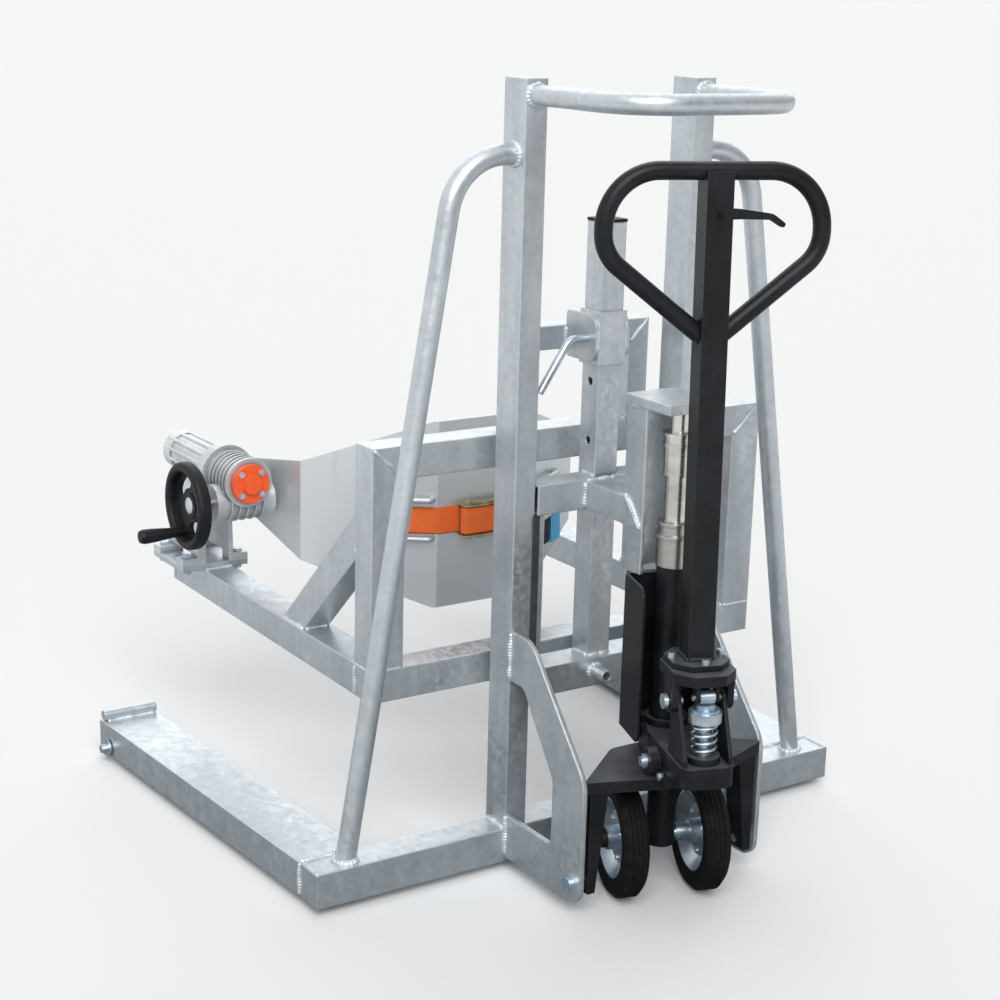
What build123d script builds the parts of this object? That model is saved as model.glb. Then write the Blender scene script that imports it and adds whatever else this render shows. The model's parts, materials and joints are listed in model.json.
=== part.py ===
from build123d import *
import math
import os

os.makedirs("parts", exist_ok=True)

# Drum lifting and tilting trolley, in millimetres.
# The origin is the floor point under the axis of the gripped drum.
# X runs to the right seen from behind, Y forward from the tiller to the drum, Z up.

# Fits and joints between pieces
running = 0.05
sliding = 0.4
weld_gap = 0.2
clear = 0.3

# Ground frame
floor_gap = 15
rear_tube = 60
rear_tube_half = 545
tube_wall = 4
end_plate = 4
mast_mid_y = -654
mast_width = 40
mast_outer = 186
mast_top = 1320
leg_width = 110
leg_root_outer = 546
leg_splay = 3.6
leg_tip_y = 117
lip_bar_r = 10

# Bent tubes of the ground frame
push_bar_r = 16
push_bar_drop = 25
push_bar_back_y = -934
push_bar_bend = 90
brace_r = 16.85
brace_drop = 117
brace_corner_x = 289
brace_foot_x = 477
brace_bend = 100
round_tube_wall = 2.6

# Load rollers in the leg tips
roller_r = 30
roller_width = 70
roller_y = 79
roller_axle_r = 8

# Gusset plates and the black bridge that carries the steering unit
gusset_t = 8
gusset_top = 428
gusset_bottom = 24
gusset_back_y = -904
gusset_rib = 85
gusset_foot_top = 101
bridge_top = 240
bridge_t = 20
bridge_front_y = -806
bridge_front_half = 62
bridge_shoulder_y = -897
bridge_nose_half = 45
bridge_nose_y = -953
bridge_bar_t = 14
bridge_bar_depth = 40
bridge_bar_gap = 8
bridge_bar_bottom = 44
bridge_bar_taper = 20
bridge_bolt_y = -878
bridge_bolt_z = 58
bridge_bolt_r = 8

# Steering unit, turned about the ram's axis
king_y = -870
steer_turn = 18.5
king_r = 24
wheel_r = 100
wheel_width = 42
half_track = 70
rim_r = 68
hub_r = 20
hub_width = 44
axle_r = 10
axle_half = 105
pump_half_width = 44
pump_top = 300
pump_back = -205
pump_front = 50
cylinder_r = 28
cylinder_top = 568
head_r = 30
head_shoulder = 621
neck_r = 27.5
head_top = 641
guard_half_width = 62
guard_top = 540
guard_t = 4
guard_flange_f = -37
cheek_t = 6
cheek_inner = 34

# Hand pump and tiller
pump_axis_f = -172
piston_r = 12
barrel_r = 27
barrel_top = 312
spring_r = 19.5
spring_wire_r = 2.5
spring_turns = 4
cap_r = 26
cap_skirt_z = 367
cap_top = 394.7
pivot_f = -142
pivot_z = 392
pivot_pin_r = 7
press_roller_r = 11
press_roller_z = 406
press_pin_r = 5
fork_ear_t = 10
fork_bottom = 428
fork_top = 445
tiller_f = -122
tiller_size = 42
tiller_foot = 455
tiller_foot_half = 47
tiller_lean = 0.037
tiller_top = 1202
tiller_bolt_circle = 40
loop_r = 14
loop_half_width = 172
loop_bend = 85
loop_lower_bend = 62
loop_shoulder_z = 1081
loop_joint_z = 962
lever_z = 1138
lever_t = 10
lever_pin_r = 4

# Telescopic ram
stage_r = 21.5
stage_bottom = 345
stage_head_r = 26
stage_head_bottom = 717
stage_top = 786
rod_r = 17
rod_bottom = 470

# Carriage between the masts
post_size = 45
post_bottom = 355
post_top = 1092
post_hole_r = 7
post_holes_z = (902, 829, 729)
carriage_back_y = -690
cross_tube_height = 50
cross_tube_depth = 60
upper_bar_z = 622
upper_bar_depth = 50
mast_side_gap = 3
shoe_t = 8
shoe_lip = 3
side_bar_t = 12
channel_front_y = -790
channel_back_y = -840
channel_half = 45
channel_bottom = 548
channel_wall = 6
bracket_t = 5
bracket_top_y = -800
bracket_low_y = -838
ram_plate_bottom = 822
ram_plate_t = 16
ram_plate_half = 50
ram_plate_back_y = -905
stub_x = -16
stub_z = 332
stub_r = 11
stub_bore_r = 7.5
stub_length = 36

# Tilt frame, set in height on the post
frame_back_y = -596
frame_tube = 55
frame_half = 400
arm_width = 60
arm_bottom = 310
arm_front_y = 190
frame_top = 741
frame_brace_top = 628
frame_brace_height = 78
frame_brace_front_y = -270
frame_brace_foot = 78
portal_tube = 40
portal_half = 139
portal_top = 915
portal_wall = 3
sleeve_bottom = 858
sleeve_top = 948
sleeve_wall = 4.6
link_t = 6
lock_rod_r = 6.5
lock_rod_straight = 44
lock_rod_reach = 100
lock_rod_drop = 84

# Tilt gear and its axes
tilt_y = 118
tilt_z = 520
gear_x = -373
worm_z = 566
crank_y = -50
crank_z = 526
gear_base_t = 12
gear_base_out = 445
gear_base_in = 310
gear_base_length = 136
chamber_r = 48
chamber_half = 30
tunnel_r = 35
tunnel_front_y = 212
tunnel_back_y = 24
flange_r = 52
flange_t = 12
small_gear_r = 42
small_gear_back_y = -90
small_tunnel_r = 34
small_tunnel_half = 58
cover_r = 36
output_wheel_r = 31
output_teeth = 30
worm_r = 13
worm_shaft_r = 9
small_wheel_r = 25
small_teeth = 18
small_worm_r = 13
crank_shaft_r = 9
handwheel_r = 82
handwheel_rim_r = 10
rim_width = 26
handwheel_x = -476
handwheel_dish = 8
grip_arm = 58
grip_turn = 22
grip_r = 12
grip_length = 86
grip_pin_r = 5

# Cradle and strap
shell_r = 296
shell_t = 5
shell_rear_half_turn = 17.8
shell_half_height = 176
shell_side_half_height = 94
shell_tip_r = 42
trunnion_r = 20
trunnion_flange_r = 45
trunnion_flange_t = 12
trunnion_bolt_circle = 33
trunnion_bolt_r = 5
strap_width = 50
strap_t = 2.5
strap_gap = 0.4
strap_end = 5
strap_z = 510
hook_t = 3
hook_length = 34
hook_slot = 10
hook_side_gap = 1.5
rail_r = 5.5
rail_standoff = 14
rail_above = 41
rail_below = 32
ratchet_left = -56
ratchet_right = 34
ratchet_depth = 28
ratchet_plate = 3
ratchet_spool_x = -42
roll_length = 34
ratchet_spool_r = 6
ratchet_handle_end = 62

# Places worked out from the sizes above
rear_tube_top = floor_gap + rear_tube
mast_front = mast_mid_y + rear_tube / 2
mast_back = mast_mid_y - rear_tube / 2
mast_inner = mast_outer - mast_width
mast_axis = (mast_outer + mast_inner) / 2
push_bar_z = mast_top - push_bar_drop
brace_z = mast_top - brace_drop
leg_half = leg_width / 2 / math.cos(math.radians(leg_splay))
leg_root_x = leg_root_outer - leg_half
leg_slope = math.tan(math.radians(leg_splay))
gusset_inner = mast_outer - gusset_t
bridge_bar_outer = gusset_inner - bridge_bar_gap
bridge_bar_inner = bridge_bar_outer - bridge_bar_t
pump_bottom = bridge_top + clear
post_back = mast_mid_y - post_size / 2
post_front = mast_mid_y + post_size / 2
carriage_half = mast_inner - mast_side_gap
shoe_face = mast_inner - sliding
side_bar_outer = shoe_face - shoe_t
cross_tube_bottom = post_bottom - cross_tube_height
upper_bar_top = upper_bar_z + cross_tube_height
frame_front_y = frame_back_y + frame_tube
arm_top = arm_bottom + frame_tube
arm_inner = frame_half - arm_width
sleeve_inner = post_size / 2 + clear
sleeve_outer = sleeve_inner + sleeve_wall
link_outer = sleeve_outer + weld_gap + link_t
gear_base_top = arm_top + weld_gap + gear_base_t
shell_outer = shell_r + shell_t
turn = math.radians(steer_turn)
side_dir = (math.cos(turn), -math.sin(turn), 0)
fore_dir = (math.sin(turn), math.cos(turn), 0)
back_dir = (-math.sin(turn), -math.cos(turn), 0)


def steer_point(side, fore, z):
    x = side * side_dir[0] + fore * fore_dir[0]
    y = king_y + side * side_dir[1] + fore * fore_dir[1]
    return (x, y, z)


# Planes of the turned steering unit: level, along its middle and across it
def steer_level(z):
    return Plane(origin=steer_point(0, 0, z), x_dir=side_dir, z_dir=(0, 0, 1))


def steer_along(side):
    return Plane(origin=steer_point(side, 0, 0), x_dir=fore_dir, z_dir=side_dir)


def steer_across(fore):
    return Plane(origin=steer_point(0, fore, 0), x_dir=side_dir, z_dir=back_dir)


# Solids added to, or cut from, the piece that is being built
def block(plane, x_range, y_range, depth, mode=Mode.ADD):
    with BuildSketch(plane) as outline:
        with Locations(((x_range[0] + x_range[1]) / 2, (y_range[0] + y_range[1]) / 2)):
            Rectangle(abs(x_range[1] - x_range[0]), abs(y_range[1] - y_range[0]))
    extrude(outline.sketch, amount=depth, mode=mode)


def box(x_range, y_range, z_range, mode=Mode.ADD):
    block(Plane.XY.offset(z_range[0]), x_range, y_range, z_range[1] - z_range[0], mode)


def prism(plane, points, depth, mode=Mode.ADD):
    with BuildSketch(plane) as outline:
        with BuildLine():
            Polyline(*points, close=True)
        make_face()
    extrude(outline.sketch, amount=depth, mode=mode)


def soft_prism(plane, points, radii, depth, mode=Mode.ADD):
    with BuildSketch(plane) as outline:
        with BuildLine():
            FilletPolyline(*points, radius=radii, close=True)
        make_face()
    extrude(outline.sketch, amount=depth, mode=mode)


def rod(plane, place, radius, depth, mode=Mode.ADD):
    with BuildSketch(plane) as outline:
        with Locations(place):
            Circle(radius)
    extrude(outline.sketch, amount=depth, mode=mode)


def hexagon(plane, place, across, depth):
    with BuildSketch(plane) as outline:
        with Locations(place):
            RegularPolygon(radius=across / 2, side_count=6, major_radius=False)
    extrude(outline.sketch, amount=depth)


def spun(plane, points):
    with BuildSketch(plane) as outline:
        with BuildLine():
            Polyline(*points, close=True)
        make_face()
    revolve(outline.sketch, axis=Axis(plane.origin, plane.y_dir))


# Hollow square tubes along X, Y or Z, open at both ends
def tube_x(x_range, y_range, z_range, wall):
    box(x_range, y_range, z_range)
    inner_y = (y_range[0] + wall, y_range[1] - wall)
    box(x_range, inner_y, (z_range[0] + wall, z_range[1] - wall), Mode.SUBTRACT)


def tube_y(x_range, y_range, z_range, wall):
    box(x_range, y_range, z_range)
    inner_x = (x_range[0] + wall, x_range[1] - wall)
    box(inner_x, y_range, (z_range[0] + wall, z_range[1] - wall), Mode.SUBTRACT)


def tube_z(x_range, y_range, z_range, wall):
    box(x_range, y_range, z_range)
    inner_x = (x_range[0] + wall, x_range[1] - wall)
    box(inner_x, (y_range[0] + wall, y_range[1] - wall), z_range, Mode.SUBTRACT)


# Round tube carried along a path of straight runs and bends
def bent_tube(plane, points, bend, radius, wall):
    with BuildLine(plane) as path:
        FilletPolyline(*points, radius=bend)
    start = path.line @ 0
    heading = path.line % 0
    with BuildSketch(Plane(origin=start, z_dir=heading)) as section:
        Circle(radius)
        if wall:
            Circle(radius - wall, mode=Mode.SUBTRACT)
    sweep(section.sketch, path=path.line)


def span(side, near, far):
    return (min(side * near, side * far), max(side * near, side * far))


def save(piece, name):
    piece.part.label = name
    export_step(piece.part, f"parts/{name}.step")


# Ground frame
with BuildPart() as base_rear_tube:
    tube_half = rear_tube_half - end_plate - weld_gap
    tube_x((-tube_half, tube_half), (mast_back, mast_front), (floor_gap, rear_tube_top), tube_wall)
    for side in (-1, 1):
        end_x = span(side, rear_tube_half - end_plate, rear_tube_half)
        box(end_x, (mast_back, mast_front), (floor_gap, rear_tube_top))
save(base_rear_tube, "base_rear_tube")

roller_x = leg_root_x + (roller_y - mast_front) * leg_slope
roller_axle_z = roller_r


def leg_outline(side, half, back_y, front_y):
    near = leg_root_x + (back_y - mast_front) * leg_slope
    far = leg_root_x + (front_y - mast_front) * leg_slope
    return [
        (side * (near - half), back_y),
        (side * (near + half), back_y),
        (side * (far + half), front_y),
        (side * (far - half), front_y),
    ]


with BuildPart() as legs:
    for side in (-1, 1):
        root_y = mast_front + weld_gap
        prism(Plane.XY.offset(floor_gap), leg_outline(side, leg_half, root_y, leg_tip_y), rear_tube)
        hollow = leg_outline(side, leg_half - tube_wall, root_y, leg_tip_y - tube_wall)
        prism(Plane.XY.offset(floor_gap + tube_wall), hollow, rear_tube - 2 * tube_wall, Mode.SUBTRACT)
        slot_half = roller_width / 2 + tube_wall
        slot_x = span(side, roller_x - slot_half, roller_x + slot_half)
        slot_y = (roller_y - roller_r - tube_wall / 2, leg_tip_y - tube_wall)
        box(slot_x, slot_y, (floor_gap, floor_gap + tube_wall), Mode.SUBTRACT)
        axle_hole = Plane.YZ.offset(side * roller_x - leg_width)
        rod(axle_hole, (roller_y, roller_axle_z), roller_axle_r + running, 2 * leg_width, Mode.SUBTRACT)
        lip_y = leg_tip_y - lip_bar_r
        lip_x = leg_root_x + (lip_y - mast_front) * leg_slope
        lip_half = leg_half - lip_bar_r / 4
        lip_start = Plane.YZ.offset(side * lip_x - lip_half)
        rod(lip_start, (lip_y, rear_tube_top + weld_gap + lip_bar_r), lip_bar_r, 2 * lip_half)
save(legs, "legs")

with BuildPart() as masts:
    for side in (-1, 1):
        mast_z = (rear_tube_top + weld_gap, mast_top - end_plate - weld_gap)
        mast_x = span(side, mast_inner, mast_outer)
        tube_z(mast_x, (mast_back, mast_front), mast_z, tube_wall)
        box(mast_x, (mast_back, mast_front), (mast_top - end_plate, mast_top))
save(masts, "masts")

with BuildPart() as push_bar:
    bar_points = [
        (mast_axis, mast_back - weld_gap),
        (mast_axis, push_bar_back_y),
        (-mast_axis, push_bar_back_y),
        (-mast_axis, mast_back - weld_gap),
    ]
    bent_tube(Plane.XY.offset(push_bar_z), bar_points, push_bar_bend, push_bar_r, round_tube_wall)
save(push_bar, "push_bar")

with BuildPart() as braces:
    for side in (-1, 1):
        foot_slope = (brace_foot_x - brace_corner_x) / (brace_z - rear_tube_top)
        below = 2 * brace_r
        brace_points = [
            (side * (mast_outer + weld_gap), brace_z),
            (side * brace_corner_x, brace_z),
            (side * (brace_foot_x + foot_slope * below), rear_tube_top - below),
        ]
        bent_tube(Plane.XZ.offset(-mast_mid_y), brace_points, brace_bend, brace_r, round_tube_wall)
        foot_x = span(side, brace_foot_x - 3 * brace_r, brace_foot_x + 3 * brace_r)
        foot_z = (rear_tube_top - 2 * below, rear_tube_top + weld_gap)
        box(foot_x, (mast_back, mast_front), foot_z, Mode.SUBTRACT)
save(braces, "braces")

gusset_face = mast_back - weld_gap
gusset_points = [
    (gusset_face, gusset_bottom),
    (gusset_face, gusset_foot_top),
    (gusset_back_y + gusset_rib, gusset_foot_top),
    (gusset_back_y + gusset_rib, gusset_top / 2),
    (gusset_face - gusset_rib / 2, gusset_top - gusset_rib),
    (gusset_face, gusset_top - gusset_rib),
    (gusset_face, gusset_top),
    (gusset_face - 0.7 * gusset_rib, gusset_top),
    (gusset_back_y, bridge_top),
    (gusset_back_y, gusset_bottom),
]
gusset_radii = [0, 0, 14, 30, 20, 0, 0, 60, 60, 32]
with BuildPart() as gusset_plates:
    for side in (-1, 1):
        gusset_plane = Plane.YZ.offset(min(side * gusset_inner, side * mast_outer))
        soft_prism(gusset_plane, gusset_points, gusset_radii, gusset_t)
        bolt_place = (bridge_bolt_y, bridge_bolt_z)
        rod(gusset_plane, bolt_place, bridge_bolt_r + running, gusset_t, Mode.SUBTRACT)
save(gusset_plates, "gusset_plates")

with BuildPart() as bridge:
    bridge_half = gusset_inner - weld_gap
    bridge_points = [
        (-bridge_half, gusset_back_y),
        (-bridge_nose_half, bridge_nose_y),
        (bridge_nose_half, bridge_nose_y),
        (bridge_half, gusset_back_y),
        (bridge_half, bridge_shoulder_y),
        (bridge_front_half, bridge_front_y),
        (-bridge_front_half, bridge_front_y),
        (-bridge_half, bridge_shoulder_y),
    ]
    bridge_radii = [2, 25, 25, 2, 3, 30, 30, 3]
    soft_prism(Plane.XY.offset(bridge_top - bridge_t), bridge_points, bridge_radii, bridge_t)
    rod(Plane.XY.offset(bridge_top - bridge_t), (0, king_y), king_r + running, bridge_t, Mode.SUBTRACT)
    bar_y = (gusset_back_y, gusset_back_y + bridge_bar_depth)
    for side in (-1, 1):
        bar_top = bridge_top - bridge_t - weld_gap
        bar_points = [
            (side * bridge_bar_outer, bridge_bar_bottom),
            (side * bridge_bar_outer, bar_top),
            (side * (bridge_bar_inner - bridge_bar_taper), bar_top),
            (side * bridge_bar_inner, bridge_bar_bottom),
        ]
        prism(Plane.XZ.offset(-bar_y[1]), bar_points, bridge_bar_depth)
        bolt_place = (bridge_bolt_y, bridge_bolt_z)
        hole_x = span(side, bridge_bar_inner - bridge_bar_taper, bridge_bar_outer)
        hole_depth = hole_x[1] - hole_x[0]
        rod(Plane.YZ.offset(hole_x[0]), bolt_place, bridge_bolt_r + running, hole_depth, Mode.SUBTRACT)
save(bridge, "bridge")

with BuildPart() as bridge_bolts:
    bolt_place = (bridge_bolt_y, bridge_bolt_z)
    bolt_head = 10
    ring_t = 3
    for side in (-1, 1):
        shank_x = span(side, bridge_bar_inner, mast_outer)
        rod(Plane.YZ.offset(shank_x[0]), bolt_place, bridge_bolt_r, shank_x[1] - shank_x[0])
        head_x = span(side, mast_outer, mast_outer + bolt_head)
        rod(Plane.YZ.offset(head_x[0]), bolt_place, 1.45 * bridge_bolt_r, bolt_head)
        ring_x = span(side, mast_outer, mast_outer + ring_t)
        rod(Plane.YZ.offset(ring_x[0]), bolt_place, 1.8 * bridge_bolt_r, ring_t)
        washer_x = span(side, bridge_bar_outer, gusset_inner)
        rod(Plane.YZ.offset(washer_x[0]), bolt_place, 2 * bridge_bolt_r, bridge_bar_gap)
save(bridge_bolts, "bridge_bolts")

# Load rollers and their axles
with BuildPart() as load_axles:
    axle_reach = leg_half + 2
    washer_t = 3
    washer_r = 17
    axle_end = 15
    split_pin_r = 1.8
    split_pin_half = 13
    collar_in = roller_width / 2 + clear
    collar_out = leg_half - tube_wall - 2.5
    for side in (-1, 1):
        centre_x = side * roller_x
        place = (roller_y, roller_axle_z)
        axle_length = axle_reach + axle_end
        rod(Plane.YZ.offset(centre_x - axle_length), place, roller_axle_r, 2 * axle_length)
        for end in (-1, 1):
            washer_x = span(end, axle_reach, axle_reach + washer_t)
            rod(Plane.YZ.offset(centre_x + washer_x[0]), place, washer_r, washer_t)
            pin_x = centre_x + end * (axle_reach + axle_end / 2)
            pin_low = Plane.XY.offset(roller_axle_z - split_pin_half)
            rod(pin_low, (pin_x, roller_y), split_pin_r, 2 * split_pin_half)
            collar_x = span(end, collar_in, collar_out)
            rod(Plane.YZ.offset(centre_x + collar_x[0]), place, 1.3 * roller_axle_r, collar_out - collar_in)
save(load_axles, "load_axles")


def load_roller(centre_x):
    half = roller_width / 2
    edge = 3
    plane = Plane(origin=(centre_x, roller_y, roller_axle_z), x_dir=(0, 0, 1), z_dir=(0, -1, 0))
    bore = roller_axle_r + running
    spun(plane, [
        (bore, -half),
        (roller_r - edge, -half),
        (roller_r, -half + edge),
        (roller_r, half - edge),
        (roller_r - edge, half),
        (bore, half),
    ])


with BuildPart() as left_load_roller:
    load_roller(-roller_x)
save(left_load_roller, "left_load_roller")

with BuildPart() as right_load_roller:
    load_roller(roller_x)
save(right_load_roller, "right_load_roller")

# Steering unit
guard_back = pump_front + weld_gap
pump_neck = 28
pump_neck_f = -40
pump_step_f = -128
chin_bottom = 266
barrel_floor = 4
valve_f = -82
valve_z = 268
boss_r = 22
boss_reach = 16
pump_lug_t = 8
pump_boss_wall = 8
bore_floor = 14
pump_lug_z = (262, 296)
pump_lug_half = 48
guard_bolt_side = 38
guard_bolt_z = 280
guard_bolt_r = 4
with BuildPart() as pump_body:
    body_z = pump_top - pump_bottom
    soft_prism(
        steer_level(pump_bottom),
        [
            (-pump_half_width, pump_step_f),
            (pump_half_width, pump_step_f),
            (pump_half_width, pump_neck_f),
            (pump_neck, pump_front),
            (-pump_neck, pump_front),
            (-pump_half_width, pump_neck_f),
        ],
        [10, 10, 20, 4, 4, 20],
        body_z,
    )
    chin_z = pump_top - chin_bottom
    chin_join = pump_step_f + 20
    soft_prism(
        steer_level(chin_bottom),
        [
            (-pump_half_width, pump_back),
            (pump_half_width, pump_back),
            (pump_half_width, chin_join),
            (-pump_half_width, chin_join),
        ],
        [18, 18, 2, 2],
        chin_z,
    )
    boss = steer_along(-pump_half_width - boss_reach)
    rod(boss, (valve_f, valve_z), boss_r, boss_reach + boss_r)
    lug_z = pump_lug_z[1] - pump_lug_z[0]
    lug_f = (pump_front - pump_lug_t, pump_front)
    block(steer_level(pump_lug_z[0]), (-pump_lug_half, pump_lug_half), lug_f, lug_z)
    rod(steer_level(pump_top), (0, 0), cylinder_r + pump_boss_wall, barrel_top - pump_top)
    rod(steer_level(pump_top), (0, 0), cylinder_r, barrel_top - pump_top, Mode.SUBTRACT)
    rod(steer_level(pump_top), (0, pump_axis_f), barrel_r, barrel_top - pump_top)
    bore_bottom = chin_bottom + barrel_floor
    bore_length = barrel_top - bore_bottom
    rod(steer_level(bore_bottom), (0, pump_axis_f), piston_r + running, bore_length, Mode.SUBTRACT)
    for side in (-1, 1):
        lug_bolt = (side * guard_bolt_side, guard_bolt_z)
        rod(steer_across(pump_front), lug_bolt, guard_bolt_r + running, pump_lug_t, Mode.SUBTRACT)
save(pump_body, "pump_body")

with BuildPart() as king_tube:
    king_bottom = wheel_r - 1.5 * axle_r
    rod(steer_level(king_bottom), (0, 0), king_r, pump_bottom - weld_gap / 2 - king_bottom)
    cross_hole = steer_along(-king_r)
    rod(cross_hole, (0, wheel_r), axle_r + running, 2 * king_r, Mode.SUBTRACT)
save(king_tube, "king_tube")

with BuildPart() as wheel_axle:
    rod(steer_along(-axle_half), (0, wheel_r), axle_r, 2 * axle_half)
    hub_in = half_track - hub_width / 2
    hub_out = half_track + hub_width / 2
    washer = 3
    nut = 9
    for side in (-1, 1):
        inner = span(side, king_r + clear, hub_in - clear)
        rod(steer_along(inner[0]), (0, wheel_r), 1.5 * axle_r, inner[1] - inner[0])
        outer = span(side, hub_out + clear, hub_out + clear + washer)
        rod(steer_along(outer[0]), (0, wheel_r), 1.9 * axle_r, washer)
        end = span(side, hub_out + clear + washer, hub_out + clear + washer + nut)
        rod(steer_along(end[0]), (0, wheel_r), 1.6 * axle_r, nut)
save(wheel_axle, "wheel_axle")

rim_bolt_circle = 38
rim_bolts = 6
disc_t = 6


def wheel_plane(side):
    return Plane(origin=steer_point(side * half_track, 0, wheel_r), x_dir=(0, 0, 1), z_dir=back_dir)


def wheel_rim(side):
    hub = hub_width / 2
    flange = wheel_width / 2 - 3
    shelf = 2.5
    dish_r = rim_bolt_circle + 6
    spun(wheel_plane(side), [
        (axle_r + running, -hub),
        (hub_r, -hub),
        (hub_r, -disc_t / 2),
        (dish_r, -disc_t / 2),
        (rim_r - shelf, -flange),
        (rim_r, -flange),
        (rim_r, flange),
        (rim_r - shelf, flange),
        (dish_r, disc_t / 2),
        (hub_r, disc_t / 2),
        (hub_r, hub),
        (axle_r + running, hub),
    ])


def wheel_bolts(side):
    bolt_r = 4
    bolt_rise = 3
    for turn_count in range(rim_bolts):
        angle = 2 * math.pi * turn_count / rim_bolts
        place = (rim_bolt_circle * math.sin(angle), wheel_r + rim_bolt_circle * math.cos(angle))
        for face in (-1, 1):
            low = span(face, disc_t / 2 + weld_gap / 4, disc_t / 2 + bolt_rise)
            rod(steer_along(side * half_track + low[0]), place, bolt_r, low[1] - low[0])


def wheel_tyre(side):
    half = wheel_width / 2
    shoulder = 8
    groove = 2.5
    outer = [(rim_r, -half + 2), (wheel_r - shoulder, -half), (wheel_r, -half + shoulder)]
    for across in (-8, 0, 8):
        outer += [(wheel_r, across - groove), (wheel_r - groove, across), (wheel_r, across + groove)]
    outer += [(wheel_r, half - shoulder), (wheel_r - shoulder, half), (rim_r, half - 2)]
    spun(wheel_plane(side), outer)


with BuildPart() as left_wheel_rim:
    wheel_rim(-1)
    wheel_bolts(-1)
save(left_wheel_rim, "left_wheel_rim")

with BuildPart() as left_wheel_tyre:
    wheel_tyre(-1)
save(left_wheel_tyre, "left_wheel_tyre")

with BuildPart() as right_wheel_rim:
    wheel_rim(1)
    wheel_bolts(1)
save(right_wheel_rim, "right_wheel_rim")

with BuildPart() as right_wheel_tyre:
    wheel_tyre(1)
save(right_wheel_tyre, "right_wheel_tyre")

with BuildPart() as lift_cylinder:
    rod(steer_level(pump_top + weld_gap), (0, 0), cylinder_r - weld_gap, cylinder_top - pump_top - weld_gap)
    rod(steer_level(cylinder_top), (0, 0), head_r, head_shoulder - cylinder_top)
    rod(steer_level(head_shoulder), (0, 0), neck_r, head_top - head_shoulder)
    ring_t = 6
    rod(steer_level(head_shoulder - ring_t), (0, 0), head_r + ring_t / 2, ring_t)
    rod(steer_level(head_top - ring_t), (0, 0), neck_r + ring_t / 3, ring_t)
    bore_bottom = stage_bottom - bore_floor
    rod(steer_level(bore_bottom), (0, 0), stage_r + running, head_top - bore_bottom, Mode.SUBTRACT)
save(lift_cylinder, "lift_cylinder")

with BuildPart() as pump_guard:
    guard_bottom = pump_bottom + 3 * guard_t
    cut = 26
    top_corner = 6
    flange_corner = 22
    lip_reach = 16
    soft_prism(
        steer_across(guard_back + guard_t),
        [
            (-guard_half_width, guard_bottom + cut),
            (-guard_half_width + cut, guard_bottom),
            (guard_half_width - cut, guard_bottom),
            (guard_half_width, guard_bottom + cut),
            (guard_half_width, guard_top),
            (-guard_half_width, guard_top),
        ],
        [guard_t, guard_t, guard_t, guard_t, top_corner, top_corner],
        guard_t,
    )
    lip_f = (guard_back + guard_t / 2, guard_back + lip_reach)
    lip_half = guard_half_width - top_corner
    block(steer_level(guard_top - guard_t), (-lip_half, lip_half), lip_f, guard_t)
    flange_z = (guard_bottom + cut, guard_top)
    flange_f = (guard_flange_f, guard_back + guard_t / 2)
    for side in (-1, 1):
        flange_side = span(side, guard_half_width - guard_t, guard_half_width)
        soft_prism(
            steer_along(flange_side[0]),
            [
                (flange_f[0], flange_z[0]),
                (flange_f[1], flange_z[0]),
                (flange_f[1], flange_z[1] - top_corner),
                (flange_f[1] - top_corner, flange_z[1]),
                (flange_f[0], flange_z[1]),
            ],
            [flange_corner / 2, 0, 0, 0, flange_corner],
            guard_t,
        )
        lug_bolt = (side * guard_bolt_side, guard_bolt_z)
        rod(steer_across(guard_back + guard_t), lug_bolt, guard_bolt_r + running, guard_t, Mode.SUBTRACT)
save(pump_guard, "pump_guard")

with BuildPart() as pump_cheeks:
    ear_r = 16
    for side in (-1, 1):
        plate = span(side, cheek_inner, cheek_inner + cheek_t)
        plane = steer_along(plate[0])
        foot = pump_top + weld_gap
        toe_f = pump_back + 8
        prism(
            plane,
            [
                (pivot_f + ear_r, foot),
                (pivot_f + ear_r, pivot_z),
                (pivot_f - ear_r, pivot_z),
                (toe_f, barrel_top),
                (toe_f, foot),
            ],
            cheek_t,
        )
        rod(plane, (pivot_f, pivot_z), ear_r, cheek_t)
        rod(plane, (pivot_f, pivot_z), pivot_pin_r + running, cheek_t, Mode.SUBTRACT)
save(pump_cheeks, "pump_cheeks")

with BuildPart() as pump_fittings:
    pin_r = 12
    dome = 5
    pin_face = -pump_half_width - boss_reach - weld_gap
    rod(steer_along(pin_face - dome), (valve_f, valve_z), pin_r, dome)
    rod(steer_along(pin_face - 2 * dome), (valve_f, valve_z), pin_r - 4, dome)
    plug_r = 6
    plug_z = 252
    plug_place = (valve_f - boss_r - plug_r, plug_z)
    hexagon(steer_along(-pump_half_width - weld_gap - plug_r), plug_place, 2 * plug_r, plug_r)
    for side in (-1, 1):
        place = (side * guard_bolt_side, guard_bolt_z)
        shank_front = guard_back + guard_t
        lug_back = pump_front - pump_lug_t
        rod(steer_across(shank_front), place, guard_bolt_r, shank_front - lug_back)
        hexagon(steer_across(lug_back), place, 3 * guard_bolt_r, guard_bolt_r)
save(pump_fittings, "pump_fittings")

# Hand pump: piston with its spring cap, and the return spring
with BuildPart() as pump_piston:
    piston_in_barrel = 12
    skirt_height = 17
    skirt_step = 4
    piston_bottom = barrel_top - piston_in_barrel
    step_z = cap_skirt_z + skirt_height
    button_z = step_z + skirt_step
    rod(steer_level(piston_bottom), (0, pump_axis_f), piston_r, cap_top - piston_bottom)
    rod(steer_level(cap_skirt_z), (0, pump_axis_f), cap_r, skirt_height)
    rod(steer_level(step_z), (0, pump_axis_f), cap_r - skirt_step, skirt_step)
    rod(steer_level(button_z), (0, pump_axis_f), 0.58 * cap_r, cap_top - button_z)
save(pump_piston, "pump_piston")

spring_low = barrel_top + clear + spring_wire_r
spring_high = cap_skirt_z - clear - spring_wire_r
spring_pitch = (spring_high - spring_low) / spring_turns


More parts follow.
